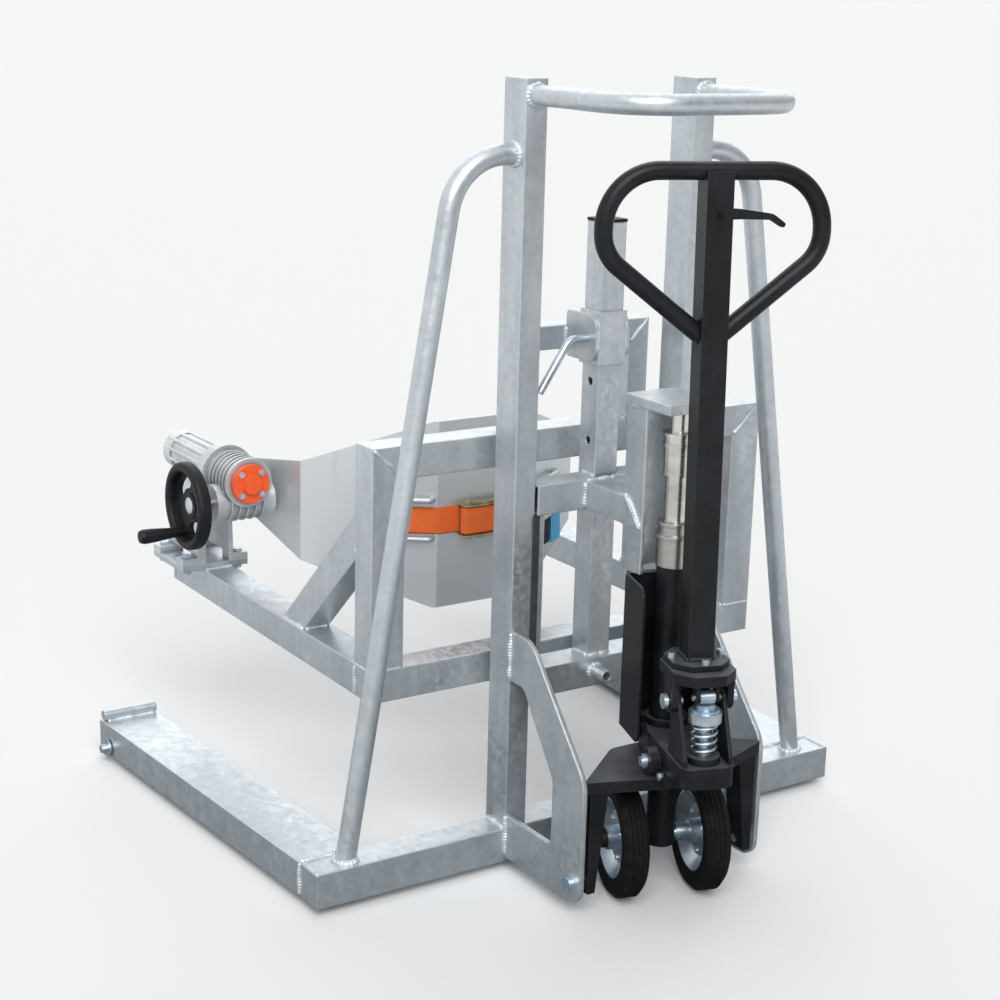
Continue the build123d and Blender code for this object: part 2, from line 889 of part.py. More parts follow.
def spring_point(turns):
    angle = 2 * math.pi * turns
    place = steer_point(0, pump_axis_f, spring_low + spring_pitch * turns)
    return Vector(place[0] + spring_r * math.cos(angle), place[1] + spring_r * math.sin(angle), place[2])


def spring_heading(turns):
    angle = 2 * math.pi * turns
    rise = spring_pitch / (2 * math.pi)
    return Vector(-spring_r * math.sin(angle), spring_r * math.cos(angle), rise).normalized()


with BuildPart() as pump_spring:
    quarters = round(spring_turns * 4)
    with BuildLine() as coil:
        for quarter in range(quarters):
            low, high = quarter / 4, (quarter + 1) / 4
            start, end = spring_point(low), spring_point(high)
            start_dir, end_dir = spring_heading(low), spring_heading(high)
            gap = end - start
            lean = gap.dot(start_dir + end_dir)
            both = 2 * (1 - start_dir.dot(end_dir))
            reach = (-lean + math.sqrt(lean * lean + both * gap.dot(gap))) / both
            middle = (start + start_dir * reach + end - end_dir * reach) * 0.5
            TangentArc(start, middle, tangent=start_dir)
            TangentArc(middle, end, tangent=(end - end_dir * reach - middle).normalized())
    with BuildSketch(Plane(origin=spring_point(0), z_dir=spring_heading(0))):
        Circle(spring_wire_r)
    sweep(path=coil.line)
save(pump_spring, "pump_spring")
turn_points = [spring_point(count / 48) for count in range(int(spring_turns * 48))]
coil_gap = min(
    (a - b).length for i, a in enumerate(turn_points) for b in turn_points[i + 24:]
) - 2 * spring_wire_r
print("least gap of the pump spring to itself", round(coil_gap, 2))

# Tiller
ear_in = cheek_inner + cheek_t + 1
ear_out = ear_in + fork_ear_t
fork_back = -190
fork_front = -70
lug_in = 13
lug_t = 6
bolt_places = [
    (tiller_bolt_circle, tiller_f),
    (-tiller_bolt_circle, tiller_f),
    (0, tiller_f + tiller_bolt_circle),
    (0, tiller_f - tiller_bolt_circle),
]
flange_bolt_r = 4


# Outline of a plate with its four corners cut off
def eight_sided(half, fore_range, corner):
    low, high = fore_range
    return [
        (-half + corner, low),
        (half - corner, low),
        (half, low + corner),
        (half, high - corner),
        (half - corner, high),
        (-half + corner, high),
        (-half, high - corner),
        (-half, low + corner),
    ]


with BuildPart() as tiller_fork:
    fork_round = 6
    fork_outline = eight_sided(ear_out, (fork_back, fork_front), ear_out / 2)
    soft_prism(steer_level(fork_bottom), fork_outline, [fork_round] * 8, fork_top - fork_bottom)
    ear_half = 18
    lug_r = 9
    for side in (-1, 1):
        ear = steer_along(span(side, ear_in, ear_out)[0])
        block(ear, (pivot_f - ear_half, pivot_f + ear_half), (pivot_z, fork_bottom), fork_ear_t)
        rod(ear, (pivot_f, pivot_z), ear_half, fork_ear_t)
        rod(ear, (pivot_f, pivot_z), pivot_pin_r + running, fork_ear_t, Mode.SUBTRACT)
        lug = steer_along(span(side, lug_in, lug_in + lug_t)[0])
        block(lug, (pump_axis_f - lug_r, pump_axis_f + lug_r), (press_roller_z, fork_bottom), lug_t)
        rod(lug, (pump_axis_f, press_roller_z), lug_r, lug_t)
        rod(lug, (pump_axis_f, press_roller_z), press_pin_r + running, lug_t, Mode.SUBTRACT)
    for place in bolt_places:
        rod(steer_level(fork_bottom), place, flange_bolt_r + running, fork_top - fork_bottom, Mode.SUBTRACT)
save(tiller_fork, "tiller_fork")

tiller_up = Vector(fore_dir[0] * tiller_lean, fore_dir[1] * tiller_lean, 1).normalized()
tiller_back = Vector(side_dir).cross(tiller_up)
tiller_origin = Vector(steer_point(0, tiller_f, tiller_foot))


# Planes of the leaning tiller: across its middle, heights counted from the floor
def tiller_across(fore):
    origin = tiller_origin - tiller_up * tiller_foot - tiller_back * fore
    return Plane(origin=origin, x_dir=side_dir, z_dir=tiller_back)


loop_rise = (loop_shoulder_z - loop_joint_z) / (loop_half_width - tiller_size / 2)
loop_start = (tiller_size / 4, loop_joint_z - loop_rise * tiller_size / 4)
loop_points = [
    loop_start,
    (loop_half_width, loop_shoulder_z),
    (loop_half_width, tiller_top),
    (-loop_half_width, tiller_top),
    (-loop_half_width, loop_shoulder_z),
    (-loop_start[0], loop_start[1]),
]
loop_bends = [loop_lower_bend, loop_bend, loop_bend, loop_lower_bend]
tube_half = tiller_size / 2
with BuildPart() as tiller_tube:
    block(
        tiller_across(tube_half),
        (-tube_half, tube_half),
        (tiller_foot - tube_wall, tiller_top),
        tiller_size,
    )
    hollow_half = tube_half - tube_wall
    hollow = tiller_across(hollow_half)
    hollow_z = (tiller_foot - tube_wall, tiller_top)
    block(hollow, (-hollow_half, hollow_half), hollow_z, 2 * hollow_half, Mode.SUBTRACT)
    foot_half = tiller_foot_half
    foot_f = (tiller_f - foot_half, tiller_f + foot_half)
    block(steer_level(fork_top - tiller_foot), (-foot_half, foot_half), foot_f, tiller_foot, Mode.SUBTRACT)
    foot_round = 4
    foot_outline = eight_sided(foot_half, foot_f, foot_half / 2)
    foot_t = tiller_foot - fork_top - weld_gap
    soft_prism(steer_level(fork_top + weld_gap), foot_outline, [foot_round] * 8, foot_t)
    for place in bolt_places:
        rod(steer_level(fork_top), place, flange_bolt_r + running, tiller_foot - fork_top, Mode.SUBTRACT)
    top_bar = Plane(
        origin=tiller_origin + tiller_up * (tiller_top - tiller_foot) - Vector(side_dir) * tiller_size,
        x_dir=fore_dir,
        z_dir=side_dir,
    )
    rod(top_bar, (0, 0), loop_r + weld_gap, 2 * tiller_size, Mode.SUBTRACT)
    lever_slot = 26
    block(
        tiller_across(lever_t / 2 + 2),
        (0, tube_half),
        (lever_z - lever_slot, lever_z + lever_slot),
        lever_t + 4,
        Mode.SUBTRACT,
    )
    rod(tiller_across(tube_half), (0, lever_z), lever_pin_r + running, tiller_size, Mode.SUBTRACT)
save(tiller_tube, "tiller_tube")

with BuildPart() as tiller_loop:
    bent_tube(tiller_across(0), loop_points, loop_bends, loop_r, round_tube_wall)
    joint_half = tube_half + weld_gap
    joint_z = (loop_joint_z - 80, loop_joint_z + 80)
    block(tiller_across(joint_half), (-joint_half, joint_half), joint_z, 2 * joint_half, Mode.SUBTRACT)
save(tiller_loop, "tiller_loop")

with BuildPart() as tiller_bolts:
    bolt_head = 7
    for side in (-1, 1):
        shank = span(side, cheek_inner - 6, ear_out + 2)
        rod(steer_along(shank[0]), (pivot_f, pivot_z), pivot_pin_r, shank[1] - shank[0])
        head = span(side, ear_out + 2, ear_out + 2 + bolt_head)
        rod(steer_along(head[0]), (pivot_f, pivot_z), 1.7 * pivot_pin_r, bolt_head)
    pin_half = lug_in + lug_t + 3
    rod(steer_along(-pin_half), (pump_axis_f, press_roller_z), press_pin_r, 2 * pin_half)
    for place in bolt_places:
        rod(steer_level(fork_bottom), place, flange_bolt_r, tiller_foot - fork_bottom)
        rod(steer_level(tiller_foot), place, 1.65 * flange_bolt_r, 1.3 * bolt_head)
    lever_pin = tube_half + 2
    rod(tiller_across(lever_pin), (0, lever_z), lever_pin_r, 2 * lever_pin)
save(tiller_bolts, "tiller_bolts")

with BuildPart() as press_roller:
    roller_half = lug_in - 1
    plane = steer_along(-roller_half)
    rod(plane, (pump_axis_f, press_roller_z), press_roller_r, 2 * roller_half)
    rod(plane, (pump_axis_f, press_roller_z), press_pin_r + running, 2 * roller_half, Mode.SUBTRACT)
save(press_roller, "press_roller")

with BuildPart() as release_lever:
    lever_points = [
        (-9, lever_z + 8),
        (8, lever_z + 10),
        (tube_half + 20, lever_z + 8),
        (tube_half + 70, lever_z + 1),
        (tube_half + 93, lever_z - 15),
        (tube_half + 86, lever_z - 20),
        (tube_half + 66, lever_z - 8),
        (tube_half + 20, lever_z - 7),
        (8, lever_z - 8),
        (-9, lever_z - 8),
    ]
    lever_radii = [6, 20, 30, 18, 4, 4, 14, 30, 20, 6]
    soft_prism(tiller_across(lever_t / 2), lever_points, lever_radii, lever_t)
    rod(tiller_across(lever_t / 2), (0, lever_z), lever_pin_r + running, lever_t, Mode.SUBTRACT)
save(release_lever, "release_lever")

# Telescopic ram
with BuildPart() as ram_stage:
    rod(steer_level(stage_bottom), (0, 0), stage_r, stage_top - stage_bottom)
    rod(steer_level(stage_head_bottom), (0, 0), stage_head_r, stage_top - stage_head_bottom)
    band_drop = 22
    band_t = 5
    for band_top in (stage_top - band_t, stage_top - band_drop):
        rod(steer_level(band_top), (0, 0), stage_head_r + 2, band_t)
    bore_bottom = rod_bottom - bore_floor
    rod(steer_level(bore_bottom), (0, 0), rod_r + running, stage_top - bore_bottom, Mode.SUBTRACT)
save(ram_stage, "ram_stage")

with BuildPart() as ram_rod:
    rod(steer_level(rod_bottom), (0, 0), rod_r, ram_plate_bottom - rod_bottom)
save(ram_rod, "ram_rod")

# Carriage
with BuildPart() as post:
    post_z = (post_bottom + weld_gap, post_top)
    tube_z((-post_size / 2, post_size / 2), (post_back, post_front), post_z, tube_wall)
    for hole_z in post_holes_z:
        rod(Plane.YZ.offset(-post_size), (mast_mid_y, hole_z), post_hole_r, 2 * post_size, Mode.SUBTRACT)
save(post, "post")

with BuildPart() as post_cap:
    cap_half = post_size / 2 + 1
    cap_y = (mast_mid_y - cap_half, mast_mid_y + cap_half)
    box((-cap_half, cap_half), cap_y, (post_top + weld_gap, post_top + 5))
save(post_cap, "post_cap")

with BuildPart() as cross_tubes:
    tube_y_range = (carriage_back_y, carriage_back_y + cross_tube_depth)
    tube_x((-carriage_half, carriage_half), tube_y_range, (cross_tube_bottom, post_bottom), tube_wall)
    bar_y = (carriage_back_y, carriage_back_y + upper_bar_depth)
    for side in (-1, 1):
        bar_x = span(side, post_size / 2 + weld_gap, carriage_half)
        tube_x(bar_x, bar_y, (upper_bar_z, upper_bar_top), tube_wall)
        upright_x = span(side, side_bar_outer - side_bar_t, side_bar_outer)
        upright_z = (post_bottom + weld_gap, upper_bar_z - weld_gap)
        box(upright_x, (mast_back, mast_front), upright_z)
    stub = Plane.XZ.offset(-(carriage_back_y - weld_gap))
    rod(stub, (stub_x, stub_z), stub_r, stub_length)
    rod(stub, (stub_x, stub_z), stub_bore_r, stub_length, Mode.SUBTRACT)
save(cross_tubes, "cross_tubes")

with BuildPart() as slide_shoes:
    lip_reach = mast_inner + shoe_lip
    shoe_z = (post_bottom + 1, upper_bar_z - 1)
    lip_y = shoe_t / 2
    for side in (-1, 1):
        web_x = span(side, side_bar_outer + weld_gap, shoe_face)
        web_y = (mast_back - sliding - lip_y, mast_front + sliding + lip_y)
        box(web_x, web_y, shoe_z)
        lip_x = span(side, shoe_face, lip_reach)
        box(lip_x, (web_y[0], mast_back - sliding), shoe_z)
        box(lip_x, (mast_front + sliding, web_y[1]), shoe_z)
save(slide_shoes, "slide_shoes")

with BuildPart() as ram_channel:
    channel_z = (channel_bottom, ram_plate_bottom - weld_gap)
    web_y = (channel_front_y - channel_wall, channel_front_y)
    box((-channel_half, channel_half), web_y, channel_z)
    for side in (-1, 1):
        flange_x = span(side, channel_half - channel_wall, channel_half)
        box(flange_x, (channel_back_y, web_y[0]), channel_z)
    bracket_in = channel_half + weld_gap
    bracket_y = (channel_front_y + weld_gap, carriage_back_y - weld_gap)
    bracket_z = (upper_bar_z + 2, upper_bar_top - 2)
    for plate_z in ((bracket_z[0], bracket_z[0] + bracket_t), (bracket_z[1] - bracket_t, bracket_z[1])):
        box((-bracket_in, bracket_in), bracket_y, plate_z)
    bracket_side = [
        (bracket_y[1], bracket_z[0]),
        (bracket_y[1], bracket_z[1]),
        (bracket_top_y, bracket_z[1]),
        (bracket_low_y, bracket_z[0]),
    ]
    for side in (-1, 1):
        side_x = span(side, bracket_in, bracket_in + bracket_t)
        prism(Plane.YZ.offset(side_x[0]), bracket_side, bracket_t)
    plate_z = (ram_plate_bottom, ram_plate_bottom + ram_plate_t)
    box((-ram_plate_half, ram_plate_half), (ram_plate_back_y, channel_front_y), plate_z)
save(ram_channel, "ram_channel")

# Tilt frame
# Square tube with slanted ends
def mitred_tube(points, hollow_x, hollow_z, y_range, wall):
    depth = y_range[1] - y_range[0]
    prism(Plane.XZ.offset(-y_range[1]), points, depth)
    box(hollow_x, (y_range[0] + wall, y_range[1] - wall), hollow_z, Mode.SUBTRACT)


with BuildPart() as frame_rails:
    rail_y = (frame_back_y, frame_front_y)
    gap = weld_gap / 2
    rail_hollow = (-frame_half + tube_wall, frame_half - tube_wall)
    low_z = (arm_bottom, arm_top - weld_gap)
    box((-frame_half, frame_half), rail_y, low_z)
    low_hollow_y = (rail_y[0] + tube_wall, rail_y[1] - tube_wall)
    box(rail_hollow, low_hollow_y, (low_z[0] + tube_wall, low_z[1] - tube_wall), Mode.SUBTRACT)
    rail_bottom = frame_top - frame_tube
    rail = [
        (-frame_half + gap, frame_top),
        (frame_half - gap, frame_top),
        (arm_inner - gap, rail_bottom),
        (-arm_inner + gap, rail_bottom),
    ]
    mitred_tube(rail, rail_hollow, (rail_bottom + tube_wall, frame_top - tube_wall), rail_y, tube_wall)
    for side in (-1, 1):
        upright = [
            (side * frame_half, arm_top),
            (side * frame_half, frame_top - gap),
            (side * arm_inner, rail_bottom - gap),
            (side * arm_inner, arm_top),
        ]
        hollow_x = span(side, arm_inner + tube_wall, frame_half - tube_wall)
        hollow_z = (arm_top, frame_top - tube_wall)
        mitred_tube(upright, hollow_x, hollow_z, rail_y, tube_wall)
save(frame_rails, "frame_rails")

with BuildPart() as frame_braces:
    brace_back = frame_front_y + weld_gap
    brace_low = arm_top + weld_gap
    inset = 5
    for side in (-1, 1):
        outer = [
            (brace_back, frame_brace_top),
            (brace_back, frame_brace_top - frame_brace_height),
            (frame_brace_front_y - frame_brace_foot, brace_low),
            (frame_brace_front_y, brace_low),
        ]
        brace_x = span(side, arm_inner + inset, frame_half - inset)
        prism(Plane.YZ.offset(brace_x[0]), outer, brace_x[1] - brace_x[0])
        run_y = frame_brace_front_y - brace_back
        drop = (frame_brace_top - brace_low) / run_y
        shift = tube_wall * math.sqrt(1 + drop * drop)
        low_run = frame_brace_front_y - frame_brace_foot - brace_back
        low_drop = (frame_brace_top - frame_brace_height - brace_low) / low_run
        low_shift = tube_wall * math.sqrt(1 + low_drop * low_drop)
        past = 40
        inner = [
            (brace_back - past, frame_brace_top - shift + drop * past),
            (brace_back - past, frame_brace_top - frame_brace_height + low_shift + low_drop * past),
            (frame_brace_front_y - frame_brace_foot + past, brace_low + low_shift - low_drop * past),
            (frame_brace_front_y + past, brace_low - shift - drop * past),
        ]
        inner_x = (brace_x[0] + tube_wall, brace_x[1] - tube_wall)
        prism(Plane.YZ.offset(inner_x[0]), inner, inner_x[1] - inner_x[0], Mode.SUBTRACT)
save(frame_braces, "frame_braces")

with BuildPart() as portal:
    portal_y = (frame_back_y, frame_back_y + portal_tube)
    portal_inner = portal_half - portal_tube
    gap = weld_gap / 2
    top_bar = [
        (-portal_half + gap, portal_top),
        (portal_half - gap, portal_top),
        (portal_inner - gap, portal_top - portal_tube),
        (-portal_inner + gap, portal_top - portal_tube),
    ]
    bar_z = (portal_top - portal_tube + portal_wall, portal_top - portal_wall)
    bar_hollow = (-portal_half + portal_wall, portal_half - portal_wall)
    mitred_tube(top_bar, bar_hollow, bar_z, portal_y, portal_wall)
    for side in (-1, 1):
        leg = [
            (side * portal_half, frame_top + weld_gap),
            (side * portal_half, portal_top - gap),
            (side * portal_inner, portal_top - portal_tube - gap),
            (side * portal_inner, frame_top + weld_gap),
        ]
        hollow_x = span(side, portal_inner + portal_wall, portal_half - portal_wall)
        mitred_tube(leg, hollow_x, (frame_top, portal_top - portal_wall), portal_y, portal_wall)
save(portal, "portal")

with BuildPart() as sleeve:
    sleeve_y = (mast_mid_y - sleeve_outer, mast_mid_y + sleeve_outer)
    tube_z((-sleeve_outer, sleeve_outer), sleeve_y, (sleeve_bottom, sleeve_top), sleeve_wall)
    link_back = mast_mid_y - sleeve_outer
    link_front = frame_back_y - weld_gap
    for side in (-1, 1):
        plane = Plane.YZ.offset(span(side, sleeve_outer + weld_gap, link_outer)[0])
        corners = [
            (link_back, sleeve_bottom + link_t),
            (link_front, sleeve_bottom + link_t),
            (link_front, sleeve_top - link_t),
            (link_back, sleeve_top - link_t),
        ]
        soft_prism(plane, corners, [24, 10, 10, 24], link_t)
    hole = Plane.YZ.offset(-2 * sleeve_outer)
    rod(hole, (mast_mid_y, post_holes_z[0]), lock_rod_r + running, 2 * sleeve_outer, Mode.SUBTRACT)
save(sleeve, "sleeve")

with BuildPart() as lock_pin:
    pin_tip = -post_size / 2 - sliding
    pin_z = post_holes_z[0]
    pin_points = [
        (pin_tip, pin_z),
        (pin_tip - lock_rod_straight, pin_z),
        (pin_tip - lock_rod_reach, pin_z - lock_rod_drop),
    ]
    bent_tube(Plane.XZ.offset(-mast_mid_y), pin_points, 24, lock_rod_r, 0)
save(lock_pin, "lock_pin")

# Tilt gear on the left arm
gear_base_y = (tilt_y - gear_base_length / 2, tilt_y + gear_base_length / 2)
foot_t = 12
foot_bolt_r = 5
foot_inset = 15
foot_places = [
    (x, y)
    for x in (-gear_base_out + foot_inset, -gear_base_in - foot_inset)
    for y in (gear_base_y[0] + foot_inset, gear_base_y[1] - foot_inset)
]
with BuildPart() as frame_arms:
    for side in (-1, 1):
        arm_y = (frame_front_y + weld_gap, arm_front_y)
        arm_x = span(side, arm_inner, frame_half)
        tube_y(arm_x, arm_y, (arm_bottom, arm_top), tube_wall)
        cap_y = (arm_front_y + weld_gap, arm_front_y + end_plate)
        box(arm_x, cap_y, (arm_bottom, arm_top))
    base_z = (arm_top + weld_gap, gear_base_top)
    box((-gear_base_out, -gear_base_in), gear_base_y, base_z)
    for place in foot_places:
        rod(Plane.XY.offset(base_z[0]), place, foot_bolt_r + running, gear_base_t, Mode.SUBTRACT)
save(frame_arms, "frame_arms")

foot_bottom = gear_base_top + weld_gap
foot_top = foot_bottom + foot_t
cover_bolt_circle = 28
cover_bolt_r = 4
cap_end = 8
room_gap = 5
with BuildPart() as gear_housing:
    column_top = tilt_z
    window_height = 16
    arch_half = 24
    arch_roof = 14
    outline = [
        (-gear_base_out, foot_bottom),
        (-gear_base_in, foot_bottom),
        (-gear_base_in, foot_top),
        (-gear_base_in - 2 * foot_inset, foot_top),
        (gear_x + chamber_half, column_top),
        (gear_x - chamber_half, column_top),
        (-gear_base_out + 2 * foot_inset, foot_top),
        (-gear_base_out, foot_top),
    ]
    prism(Plane.XZ.offset(-gear_base_y[1]), outline, gear_base_length)
    window_y = (gear_base_y[0] + 2 * foot_inset, gear_base_y[1] - 2 * foot_inset)
    window_z = (foot_bottom, foot_bottom + window_height)
    box((-gear_base_out, -gear_base_in), window_y, window_z, Mode.SUBTRACT)
    arch_x = (gear_x - arch_half, gear_x + arch_half)
    box(arch_x, gear_base_y, (foot_bottom, tilt_z - chamber_r - arch_roof), Mode.SUBTRACT)
    chamber = Plane.YZ.offset(gear_x - chamber_half)
    rod(chamber, (tilt_y, tilt_z), chamber_r, 2 * chamber_half)
    tunnel_length = tunnel_front_y - tunnel_back_y
    tunnel = Plane.XZ.offset(-tunnel_front_y)
    rod(tunnel, (gear_x, worm_z), tunnel_r, tunnel_length)
    rib_r = 4
    rib_count = 12
    rib_length = tunnel_length - 2 * flange_t
    for count in range(rib_count):
        angle = 2 * math.pi * (count + 0.5) / rib_count
        x = gear_x + tunnel_r * math.cos(angle)
        z = worm_z + tunnel_r * math.sin(angle)
        rod(Plane.XZ.offset(-(tunnel_front_y - flange_t / 2)), (x, z), rib_r, rib_length)
    end_cap = 30
    rod(tunnel, (gear_x, worm_z), tunnel_r + rib_r - 1, end_cap)
    rod(Plane.XZ.offset(-tunnel_front_y - rib_r), (gear_x, worm_z), tunnel_r, rib_r)
    rod(Plane.XZ.offset(-tunnel_back_y), (gear_x, worm_z), flange_r, flange_t)
    wall = 8
    wheel_room = Plane.YZ.offset(gear_x - chamber_half + wall)
    rod(wheel_room, (tilt_y, tilt_z), chamber_r - wall, 2 * (chamber_half - wall), Mode.SUBTRACT)
    rod(wheel_room, (tilt_y, tilt_z), trunnion_r + running, 2 * chamber_half, Mode.SUBTRACT)
    room_length = tunnel_front_y - 2 * flange_t - tunnel_back_y + flange_t
    worm_room = Plane.XZ.offset(-(tunnel_front_y - 2 * flange_t))
    rod(worm_room, (gear_x, worm_z), worm_r + room_gap, room_length + flange_t, Mode.SUBTRACT)
    bearing = Plane.XZ.offset(-(tunnel_front_y - cap_end))
    rod(bearing, (gear_x, worm_z), worm_shaft_r + running, 2 * flange_t, Mode.SUBTRACT)
    for place in foot_places:
        rod(Plane.XY.offset(foot_bottom), place, foot_bolt_r + running, foot_t, Mode.SUBTRACT)
save(gear_housing, "gear_housing")

small_front = tunnel_back_y - flange_t - weld_gap
small_tunnel_x = (gear_x - small_tunnel_half, gear_x + small_tunnel_half)
with BuildPart() as small_gear_housing:
    small_length = small_front - small_gear_back_y
    front = Plane.XZ.offset(-small_front)
    rod(front, (gear_x, worm_z), small_gear_r, small_length)
    rod(front, (gear_x, worm_z), flange_r, flange_t)
    fin_t = 3.5
    fin_pitch = 14
    for count in range(2, int(small_length / fin_pitch)):
        fin = Plane.XZ.offset(-(small_front - count * fin_pitch))
        rod(fin, (gear_x, worm_z), small_gear_r + 4, fin_t)
    cross = Plane.YZ.offset(small_tunnel_x[0])
    rod(cross, (crank_y, crank_z), small_tunnel_r, 2 * small_tunnel_half)
    rib_rise = 5
    rib_pitch = 16
    for count in (-2, -1, 0, 1, 2):
        rib_x = gear_x + count * rib_pitch - fin_t / 2
        rod(Plane.YZ.offset(rib_x), (crank_y, crank_z), small_tunnel_r + rib_rise, fin_t)
    end_ring = 7
    ring_r = small_gear_r + 4
    rod(Plane.XZ.offset(-small_gear_back_y - end_ring), (gear_x, worm_z), ring_r, end_ring)
    wall = 8
    wheel_room = Plane.XZ.offset(-small_front)
    rod(wheel_room, (gear_x, worm_z), small_wheel_r + room_gap, small_length - wall, Mode.SUBTRACT)
    rod(wheel_room, (gear_x, worm_z), worm_shaft_r + running, small_length, Mode.SUBTRACT)
    worm_room = Plane.YZ.offset(small_tunnel_x[0] + wall)
    rod(worm_room, (crank_y, crank_z), small_worm_r + room_gap, 2 * (small_tunnel_half - wall), Mode.SUBTRACT)
    rod(cross, (crank_y, crank_z), crank_shaft_r + running, 2 * small_tunnel_half - wall, Mode.SUBTRACT)
save(small_gear_housing, "small_gear_housing")

cover_back = small_gear_back_y - weld_gap
cover_t = 11
with BuildPart() as gear_cover:
    plane = Plane.XZ.offset(-cover_back)
    rod(plane, (gear_x, worm_z), cover_r, cover_t)
    rod(plane, (gear_x, worm_z), cover_r / 2, 2 * cover_t - 4)
save(gear_cover, "gear_cover")

with BuildPart() as gear_bolts:
    for place in foot_places:
        rod(Plane.XY.offset(arm_top + weld_gap), place, foot_bolt_r, foot_top - arm_top - weld_gap)
        hexagon(Plane.XY.offset(foot_top), place, 3.2 * foot_bolt_r, 1.2 * foot_bolt_r)
        nut_bottom = arm_top + weld_gap - 1.6 * foot_bolt_r
        hexagon(Plane.XY.offset(nut_bottom), place, 3.2 * foot_bolt_r, 1.6 * foot_bolt_r)
    for count in range(4):
        angle = math.pi / 4 + count * math.pi / 2
        x = gear_x + cover_bolt_circle * math.cos(angle)
        z = worm_z + cover_bolt_circle * math.sin(angle)
        head = Plane.XZ.offset(-(cover_back - cover_t - weld_gap / 4))
        hexagon(head, (x, z), 2.6 * cover_bolt_r, cover_bolt_r)
    joint_bolt_circle = flange_r - 7
    for count in range(6):
        angle = math.pi / 6 + count * math.pi / 3
        x = gear_x + joint_bolt_circle * math.cos(angle)
        z = worm_z + joint_bolt_circle * math.sin(angle)
        head = Plane.XZ.offset(-(tunnel_back_y + cover_bolt_r + weld_gap / 4))
        hexagon(head, (x, z), 2.6 * cover_bolt_r, cover_bolt_r)
save(gear_bolts, "gear_bolts")

# Inside the gears
def tooth_notch(wheel_radius, teeth):
    return 0.3 * 2 * math.pi * wheel_radius / teeth


with BuildPart() as worm_shaft:
    shaft_back = small_gear_back_y + 2
    shaft_front = tunnel_front_y - cap_end - 4
    rod(Plane.XZ.offset(-shaft_front), (gear_x, worm_z), worm_shaft_r, shaft_front - shaft_back)
    thread_pitch = 10
    thread_count = 7
    for count in range(thread_count):
        thread_y = tilt_y + (count - thread_count / 2) * thread_pitch
        rod(Plane.XZ.offset(-thread_y - thread_pitch / 2), (gear_x, worm_z), worm_r, thread_pitch / 2)
    wheel_half = 9
    wheel_front = crank_y + wheel_half
    rod(Plane.XZ.offset(-wheel_front), (gear_x, worm_z), small_wheel_r, 2 * wheel_half)
    notch = tooth_notch(small_wheel_r, small_teeth)
    for count in range(small_teeth):
        angle = 2 * math.pi * count / small_teeth
        x = gear_x + small_wheel_r * math.cos(angle)
        z = worm_z + small_wheel_r * math.sin(angle)
        rod(Plane.XZ.offset(-wheel_front), (x, z), notch, 2 * wheel_half, Mode.SUBTRACT)
save(worm_shaft, "worm_shaft")

hub_back = 6
hub_length = 28
handwheel_hub_r = 24
web_x = handwheel_x + handwheel_dish
with BuildPart() as crank_worm:
    inner_end = small_tunnel_x[1] - 12
    rod(Plane.YZ.offset(web_x), (crank_y, crank_z), crank_shaft_r, inner_end - web_x)
    thread_pitch = 8
    thread_count = 6
    for count in range(thread_count):
        thread_x = gear_x + (count - thread_count / 2) * thread_pitch
        rod(Plane.YZ.offset(thread_x), (crank_y, crank_z), small_worm_r, thread_pitch / 2)
save(crank_worm, "crank_worm")

grip_y = crank_y + grip_arm * math.sin(math.radians(grip_turn))
grip_z = crank_z - grip_arm * math.cos(math.radians(grip_turn))
grip_root_x = handwheel_x - rim_width / 2 - 1
grip_body = grip_length - rim_width / 2
grip_end = 7
with BuildPart() as handwheel:
    plane = Plane(origin=(handwheel_x, crank_y, crank_z), x_dir=(0, 0, 1), z_dir=(0, -1, 0))
    with BuildSketch(plane) as rim_section:
        with Locations((handwheel_r - handwheel_rim_r, 0)):
            RectangleRounded(2 * handwheel_rim_r - 2, rim_width, handwheel_rim_r - 2)
    revolve(rim_section.sketch, axis=Axis(plane.origin, plane.y_dir))
    web_t = 8
    slot_width = 22
    slot_turn = 55
    slot_circle = (handwheel_r - 2 * handwheel_rim_r + handwheel_hub_r) / 2
    web = Plane.YZ.offset(web_x - web_t / 2)
    rod(web, (crank_y, crank_z), handwheel_r - handwheel_rim_r, web_t)
    with BuildSketch(web) as openings:
        with Locations((crank_y, crank_z)):
            for start in (25, 205):
                with BuildLine(mode=Mode.PRIVATE) as middle:
                    CenterArc((0, 0), slot_circle, start, slot_turn)
                SlotArc(middle.edges()[0], slot_width)
    extrude(openings.sketch, amount=web_t, mode=Mode.SUBTRACT)
    rod(Plane.YZ.offset(web_x - hub_back), (crank_y, crank_z), handwheel_hub_r, hub_length)
    bore = Plane.YZ.offset(web_x)
    rod(bore, (crank_y, crank_z), crank_shaft_r + running, hub_length, Mode.SUBTRACT)
    boss_r = 13
    rod(web, (grip_y, grip_z), boss_r, web_t)
    pin_out = grip_root_x - grip_body + grip_end
    rod(Plane.YZ.offset(pin_out), (grip_y, grip_z), grip_pin_r, web_x - pin_out)
save(handwheel, "handwheel")

with BuildPart() as crank_grip:
    plane = Plane(origin=(grip_root_x, grip_y, grip_z), x_dir=(0, 0, 1), z_dir=(0, -1, 0))
    bore = grip_pin_r + running
    bore_end = grip_body - grip_end + clear
    spun(plane, [
        (bore, 0),
        (grip_r - 3, 0),
        (grip_r - 2, 0.2 * grip_body),
        (grip_r + 1, 0.65 * grip_body),
        (grip_r + 1.5, 0.9 * grip_body),
        (grip_r - 1, grip_body - 1),
        (grip_r - 4, grip_body),
        (0, grip_body),
        (0, bore_end),
        (bore, bore_end),
    ])
save(crank_grip, "crank_grip")

